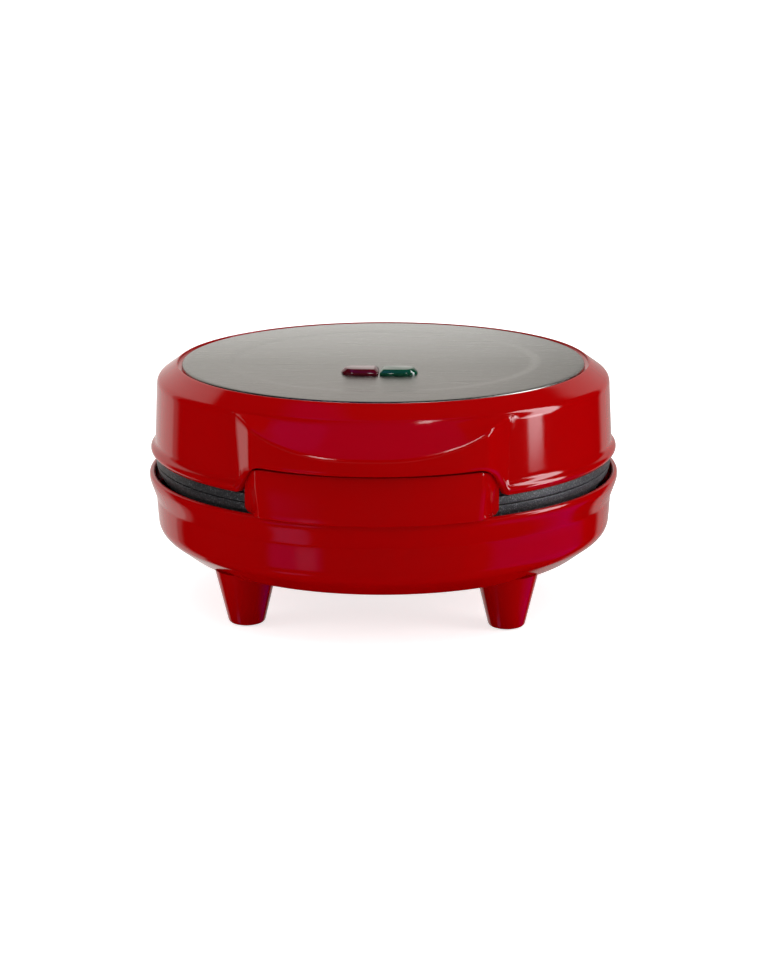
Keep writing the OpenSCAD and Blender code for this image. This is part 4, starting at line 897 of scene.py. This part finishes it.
discPiece = newObject("topDisc", bareMesh(
    "topDisc", *lathe(discProfile(), disc["columns"]), brushedDisc, 40.0))
dress(discPiece, "lid", "top_disc", slot="brushed_steel_disc")


# Indicator lenses, in mm
lens = {"pairWidth": 33.0, "depth": 12.0, "gap": 0.7, "front": 28.0, "low": 99.7, "top": 106.8, "bevel": 1.5}


def lensMesh(side, name, material):
    # A half pill: flat top, sloping edges and a round outer end
    half, d, g = lens["pairWidth"] / 2, lens["depth"] / 2, lens["gap"] / 2

    def ring(inset, z):
        r = d - inset
        cx = half - d
        c = 0.4 * min(1.0, r)
        turns = [radians(-90 + 180 * i / 20) for i in range(21)]
        pts = [(g + inset + c, -r)] + [(cx + r * cos(a), r * sin(a)) for a in turns]
        pts += [(g + inset + c, r), (g + inset, r - c), (g + inset, -r + c)]
        return [(side * x, y - lens["front"], z) for x, y in pts]

    top, b = lens["top"], lens["bevel"]
    rings = [ring(0, lens["low"]), ring(0, top - b - 0.35), ring(0.08, top - b), ring(0.3, top - b + 0.3),
             ring(b - 0.25, top - 0.28), ring(b, top - 0.08), ring(b + 0.35, top)]
    n = len(rings[0])
    points = [p for r in rings for p in r]
    faces = [list(range(n))[::-1], list(range((len(rings) - 1) * n, len(rings) * n))]
    for i in range(len(rings) - 1):
        low, high = i * n, (i + 1) * n
        faces += [[low + k, low + (k + 1) % n, high + (k + 1) % n, high + k] for k in range(n)]
    return bareMesh(name, points, faces, material, sharp=50.0)


for side, name, node, finish in (
    (-1, "redLens", "red_lens", redLensPlastic), (1, "greenLens", "green_lens", greenLensPlastic)
):
    dress(newObject(name, lensMesh(side, name, finish)), "lid", node, slot=node)
print("disc and lenses")


# Handle grip, in mm and degrees
grip = {
    "centre": -10.0,
    "r": 98.0,
    "corner": 5.0,
    "turn": 27.5,
    "flankAngle": 64.0,
    "halfHigh": 52.0,
    "halfLow": 50.8,
    "low": 56.9,
    "lowCorner": 2.5,
    "archStart": 44.5,
    "archCentre": 70.2,
    "archRound": 7.5,
    "lowRound": 0.9,
    "topRound": 0.5,
    "shelf": 58.2,
    "lipClear": 104.3,
    "back": 100.95,
}


def gripPlan():
    # Points of the right half in plan with their outward normals: front, round corner and slanting flank
    r, c, y0 = grip["r"], grip["corner"], grip["centre"]
    turn, flank = radians(grip["turn"]), radians(grip["flankAngle"])
    cx, cy = (r - c) * sin(turn), y0 - (r - c) * cos(turn)
    made = []
    for i in range(25):
        a = turn * i / 24
        made.append((r * sin(a), y0 - r * cos(a), sin(a), -cos(a)))
    for i in range(1, 9):
        a = turn + (flank - turn) * i / 8
        made.append((cx + c * sin(a), cy - c * cos(a), sin(a), -cos(a)))
    x, y = made[-1][:2]
    for i in range(1, 7):
        t = (grip["halfHigh"] - x) * i / 6
        made.append((x + t, y + t * tan(flank), sin(flank), -cos(flank)))
    x, y = made[-1][:2]
    endY = -sqrt(grip["back"] ** 2 - x * x)
    made += [(x, y + (endY - y) * t, 1.0, 0.0) for t in (0.4, 0.999)]
    return made


def gripColumn(x, y, nx, ny):
    # One closed line of the grip, from its back edge under the shelf, up the front and back over the top
    g = grip
    over = abs(x) - g["archStart"]
    topZ = g["archCentre"] + sqrt(max(0.0, g["archRound"] ** 2 - max(0.0, over) ** 2))
    inCorner = abs(x) * g["halfLow"] / g["halfHigh"] - g["halfLow"] + g["lowCorner"]
    lowZ = g["low"] + g["lowCorner"] - sqrt(max(0.0, g["lowCorner"] ** 2 - max(0.0, inCorner) ** 2))

    def at(inset, z):
        px, py = x - inset * nx, y - inset * ny
        reach = hypot(px, py)
        if reach < g["back"]:
            px, py = px * g["back"] / reach, py * g["back"] / reach
        low = g["low"] + g["lowCorner"]
        t = min(1.0, max(0.0, (z - low) / (g["archCentre"] - low)))
        k = (g["halfLow"] + (g["halfHigh"] - g["halfLow"]) * t) / g["halfHigh"]
        return px * k, py, z

    reach = hypot(x, y)
    shelf = max(lowZ, g["shelf"])
    lip = max(g["back"], min(g["lipClear"], reach - 1.0))
    line = [(x * r / reach, y * r / reach, z) for r, z in ((g["back"], shelf), (lip, shelf), (lip, lowZ))]
    e, f = g["lowRound"], g["topRound"]
    line += softCorner(at(e, lowZ), at(0, lowZ), at(0, lowZ + e), 4)
    line += [at(0, lowZ + e + (topZ - f - lowZ - e) * i / 10) for i in range(1, 11)]
    line += softCorner(at(0, topZ - f), at(0, topZ), at(f, topZ), 3)[1:]
    line.append((x * g["back"] / reach, y * g["back"] / reach, topZ))
    return line


def gripMesh():
    right = gripPlan()
    plan = [(-x, y, -nx, ny) for x, y, nx, ny in right[:0:-1]] + right
    columns = [gripColumn(*point) for point in plan]
    rows = len(columns[0])
    points = [p for column in columns for p in column]
    faces = [list(range(rows)), list(range(len(points) - 1, len(points) - rows - 1, -1))]
    for k in range(len(columns) - 1):
        a, b = k * rows, (k + 1) * rows
        faces += [[a + i, a + (i + 1) % rows, b + (i + 1) % rows, b + i] for i in range(rows)]
    return bareMesh("handleGrip", points, faces, redPlastic, sharp=50.0)


gripPiece = newObject("handleGrip", gripMesh())
dress(gripPiece, "lid", "handle_grip", slot="red_shell")
print("handle grip")


# Baking plates, in mm, and the span by the hinge in which their rim grows narrower, in degrees
plate = {
    "r": 98.6,
    "flangeR": 100.7,
    "flangeLean": 0.6,
    "flangeHeight": 3.5,
    "rimHeight": 6.0,
    "castHeight": 13.5,
    "mouldR": 17.5,
    "mouldHalf": 9.5,
    "mouldStraight": 1.5,
    "mouldEdge": 0.8,
    "mouldReach": 60.0,
    "mouldCount": 6,
    "hingeSpan": (30.0, 38.0),
    "columns": 240,
}


def mouldProfile():
    c, h, s, e = plate["mouldR"], plate["mouldHalf"], plate["mouldStraight"], plate["mouldEdge"]
    line = [(0, 0), (c - h - e - 2, 0)]
    line += softCorner((c - h - e, 0), (c - h, 0), (c - h, -e), 4)
    line += arcPoints(c, -s, h, 180, 360, 28)
    line += softCorner((c + h, -e), (c + h, 0), (c + h + e, 0), 4)
    return line


def plateMesh(name):
    # Face at height 0, casting below it
    mould = newObject(name, bareMesh(name, *lathe(mouldProfile(), 72), coatedCast))
    copiesOnACircle(mould, plate["mouldCount"], plate["mouldReach"], 0.0, 1)
    work = bmesh.new()
    work.from_mesh(mould.data)
    bpy.data.objects.remove(mould)
    bmesh.ops.remove_doubles(work, verts=work.verts, dist=1e-6)
    r, rim, cast = plate["r"], plate["rimHeight"], plate["castHeight"]
    f, lean, low = plate["flangeR"], plate["flangeLean"], -plate["flangeHeight"]
    profile = softCorner((f - 0.5, 0), (f, 0), (f, -0.5), 4)
    profile += softCorner((f - lean, low + 0.4), (f - lean, low), (f - lean - 0.4, low), 3)
    profile += [(r, low), (r, -rim + 0.5), (r - 0.5, -rim), (r - 4, -rim)]
    profile += [(r - 4, -cast), (0, -cast)]
    points, faces = lathe(profile, plate["columns"])
    made = [work.verts.new((x * mm, y * mm, z * mm)) for x, y, z in points]
    for f in faces:
        work.faces.new([made[i] for i in f])
    rims = [e for e in work.edges if e.is_boundary]
    bmesh.ops.triangle_fill(work, use_beauty=True, use_dissolve=False, edges=rims, normal=(0, 0, 1))
    bmesh.ops.recalc_face_normals(work, faces=work.faces)
    mesh = bpy.data.meshes.new(name)
    work.to_mesh(mesh)
    work.free()
    return mesh


def finishPlate(name, body, node, flip, faceZ):
    mesh = plateMesh(name)
    r = plate["r"] * mm
    start, end = plate["hingeSpan"]
    for v in mesh.vertices:
        x, y, z = v.co
        reach = hypot(x, y)
        if reach > r:
            t = min(1.0, max(0.0, (degrees(atan2(abs(x), y)) - start) / (end - start)))
            k = (r + (reach - r) * t) / reach
            x, y = x * k, y * k
        v.co = (x, y, faceZ * mm + (-z if flip else z))
    if flip:
        mesh.flip_normals()
    mesh.materials.clear()
    mesh.materials.append(coatedCast)
    mesh.shade_smooth()
    mesh.set_sharp_from_angle(angle=radians(35))
    dress(newObject(name, mesh), body, node, slot="coated_cast_aluminium")


finishPlate("lowerPlate", "base", "lower_plate", False, 61.0)
finishPlate("upperPlate", "lid", "upper_plate", True, 61.3)
print("baking plates")


# Floor: half its side in mm, and its glow to the eye and to diffuse light
ground = {"half": 6e3, "glow": 0.75, "bounce": 0.12}


def addStage():
    h = ground["half"]
    floor = newObject("floor", bareMesh(
        "floor", [(-h, -h, 0), (h, -h, 0), (h, h, 0), (-h, h, 0)], [[0, 1, 2, 3]], floorMaterial()))


def floorMaterial():
    # Pale with a soft shadow to the eye, and left out of what gloss sees
    material, tree, shader = newMaterial("paleFloor", Roughness=0.9, Base_Color=(0.9, 0.9, 0.9, 1))
    path = addNode(tree, "ShaderNodeLightPath")
    bounce = mathNode(tree, "MULTIPLY", path.outputs["Is Diffuse Ray"], ground["bounce"])
    glow = mathNode(tree, "MULTIPLY_ADD", path.outputs["Is Camera Ray"], ground["glow"], bounce)
    shader.inputs["Emission Color"].default_value = (1, 1, 1, 1)
    tree.links.new(glow, shader.inputs["Emission Strength"])
    clear = addNode(tree, "ShaderNodeBsdfTransparent")
    mix = addNode(tree, "ShaderNodeMixShader", {
        0: path.outputs["Is Glossy Ray"], 1: shader.outputs[0], 2: clear.outputs[0]})
    tree.links.new(mix.outputs[0], tree.nodes["Material Output"].inputs["Surface"])
    return material


def windowGroup():
    # 1 inside a window of directions, given in degrees round the room and above the horizon
    tree, given, out = newGroup(
        "roomWindow",
        [("Round", "value", 0.0), ("Above", "value", 0.0), ("From", "value", -10.0), ("To", "value", 10.0),
         ("Low", "value", -10.0), ("High", "value", 10.0), ("Edge", "value", 3.0), ("Lean", "value", 0.0)],
        [("Mask", "value")],
    )
    shift = mathNode(tree, "MULTIPLY", given.outputs["Above"], given.outputs["Lean"])
    upright = mathNode(tree, "SUBTRACT", given.outputs["Round"], shift)
    sides = []
    for value, low, high in ((upright, "From", "To"), (given.outputs["Above"], "Low", "High")):
        inside = mathNode(tree, "SUBTRACT", value, given.outputs[low])
        other = mathNode(tree, "SUBTRACT", given.outputs[high], value)
        nearest = mathNode(tree, "MINIMUM", inside, other)
        sides.append(addNode(tree, "ShaderNodeMapRange", {
            "Value": nearest, "From Min": 0.0, "From Max": given.outputs["Edge"],
        }, interpolation_type="SMOOTHSTEP"))
    mask = mathNode(tree, "MULTIPLY", sides[0].outputs[0], sides[1].outputs[0])
    tree.links.new(mask, out.inputs["Mask"])
    return tree


# What gloss sees of the room: colour, then from, to, low and high in degrees, the soft edge and the lean
roomWindows = {
    "backdropLeft": ((0.50, 0.47, 0.45), (-260, -126, -40, 42, 2.0, 0.0)),
    "backdropLeftDim": ((0.30, 0.28, 0.27), (-260, -119, -40, 42, 5, 0.0)),
    "backdropRight": ((0.50, 0.47, 0.45), (140, 260, -40, 42, 7, 0.0)),
    "softboxRight": ((9.0, 9.0, 9.4), (76, 98, -6.5, 54, 2, 0.4)),
    "softboxFoot": ((7.5, 7.5, 7.8), (79.2, 88.8, -9.4, -2, 0.7, 0.0)),
    "lampLeft": ((10.0, 10.0, 10.0), (-37, -25, 36, 54, 3, 0.0)),
    "lampRight": ((10.0, 10.0, 10.0), (31, 45, 48, 68, 3, 0.0)),
    "violetLowLeft": ((0.16, 0.03, 0.42), (-60, -26, -29, -15, 6, 0.0)),
    "whiteLowLeft": ((0.28, 0.22, 0.24), (-44, -29, -28, -17, 5, 0.0)),
    "paleLowLeft": ((0.25, 0.2, 0.6), (-68, -40, -54, -40, 6, 0.0)),
    "violetLowRight": ((0.14, 0.0, 0.36), (56, 128, -42, -15, 9, 0.0)),
    "roomFront": ((0.20, 0.195, 0.19), (-80, 74, 5, 27, 4, 0.0)),
    "violetTop": ((0.02, 0.0, 0.20), (-130, 100, 60, 86, 8, 0.0)),
    "violetTopLeft": ((0.06, 0.02, 0.26), (-112, -48, 62, 78, 6, 0.0)),
}


def addWorld():
    world = bpy.data.worlds.new("studio")
    world.use_nodes = True
    world.cycles.sampling_method = "NONE"
    tree = world.node_tree
    tree.nodes.clear()
    out = addNode(tree, "ShaderNodeOutputWorld")
    path = addNode(tree, "ShaderNodeLightPath")
    place = addNode(tree, "ShaderNodeTexCoord")
    split = addNode(tree, "ShaderNodeSeparateXYZ", {0: place.outputs["Generated"]})
    front = mathNode(tree, "MULTIPLY", split.outputs["Y"], -1.0)
    turn = mathNode(tree, "ARCTAN2", split.outputs["X"], front)
    lift = mathNode(tree, "ARCSINE", split.outputs["Z"])
    around, above = [mathNode(tree, "MULTIPLY", v, 180 / pi) for v in (turn, lift)]
    window = windowGroup()
    seen = None
    for color, limits in roomWindows.values():
        mask = useGroup(tree, window, dict(zip(("From", "To", "Low", "High", "Edge", "Lean"), limits)))
        tree.links.new(around, mask.inputs["Round"])
        tree.links.new(above, mask.inputs["Above"])
        added = addNode(tree, "ShaderNodeVectorMath", {0: color, 1: mask.outputs[0]},
                        operation="MULTIPLY_ADD")
        if seen:
            tree.links.new(seen.outputs[0], added.inputs[2])
        seen = added
    glossy = addNode(tree, "ShaderNodeBackground", {"Color": seen.outputs[0], "Strength": 1.0})
    white = addNode(tree, "ShaderNodeBackground", {"Color": (1, 1, 1, 1), "Strength": 1.0})
    # Soft light from all round, weakest from the front and from below, stronger from the right
    depth = rangeNode(tree, split.outputs["Y"], -0.9, 0.3, 0.12, 0.85)
    side = rangeNode(tree, split.outputs["X"], -1.0, 1.0, 0.85, 1.2)
    height = rangeNode(tree, split.outputs["Z"], -0.3, 0.7, 0.2, 1.15)
    flat = mathNode(tree, "MULTIPLY", depth, side)
    level = mathNode(tree, "MULTIPLY", flat, height)
    soft = addNode(tree, "ShaderNodeBackground", {"Color": (1, 1, 1, 1), "Strength": level})
    direct = mathNode(tree, "MAXIMUM", path.outputs["Is Camera Ray"], path.outputs["Is Transmission Ray"])
    first = addNode(tree, "ShaderNodeMixShader", {
        0: path.outputs["Is Glossy Ray"], 1: soft.outputs[0], 2: glossy.outputs[0]})
    second = addNode(tree, "ShaderNodeMixShader", {0: direct, 1: first.outputs[0], 2: white.outputs[0]})
    tree.links.new(second.outputs[0], out.inputs["Surface"])
    scene.world = world


def addLamp(name, place, target, size, power):
    # A soft panel that gloss doesn't show
    data = bpy.data.lights.new(name, "AREA")
    data.shape = "RECTANGLE"
    data.size, data.size_y = size
    data.energy = power
    lamp = bpy.data.objects.new(name, data)
    lamp.location = place
    lamp.rotation_euler = (Vector(target) - Vector(place)).to_track_quat("-Z", "Y").to_euler()
    lamp.visible_glossy = False
    scene.collection.objects.link(lamp)


# Lamps: place and target in m, size in m, power in W
lamps = {
    "overhead": ((0.0, -0.2, 1.6), (0, 0, 0.05), (1.4, 1.2), 3.0),
    "leftSoft": ((-1.5, -0.5, 0.6), (0, 0, 0.06), (0.7, 0.9), 4.4),
    "rightSoft": ((1.5, -0.45, 0.6), (0, 0, 0.06), (0.7, 0.9), 8.0),
}
addStage()
addWorld()
for name, (place, target, size, power) in lamps.items():
    addLamp(name, place, target, size, power)
scene.view_settings.view_transform = "Standard"
print("stage and light")
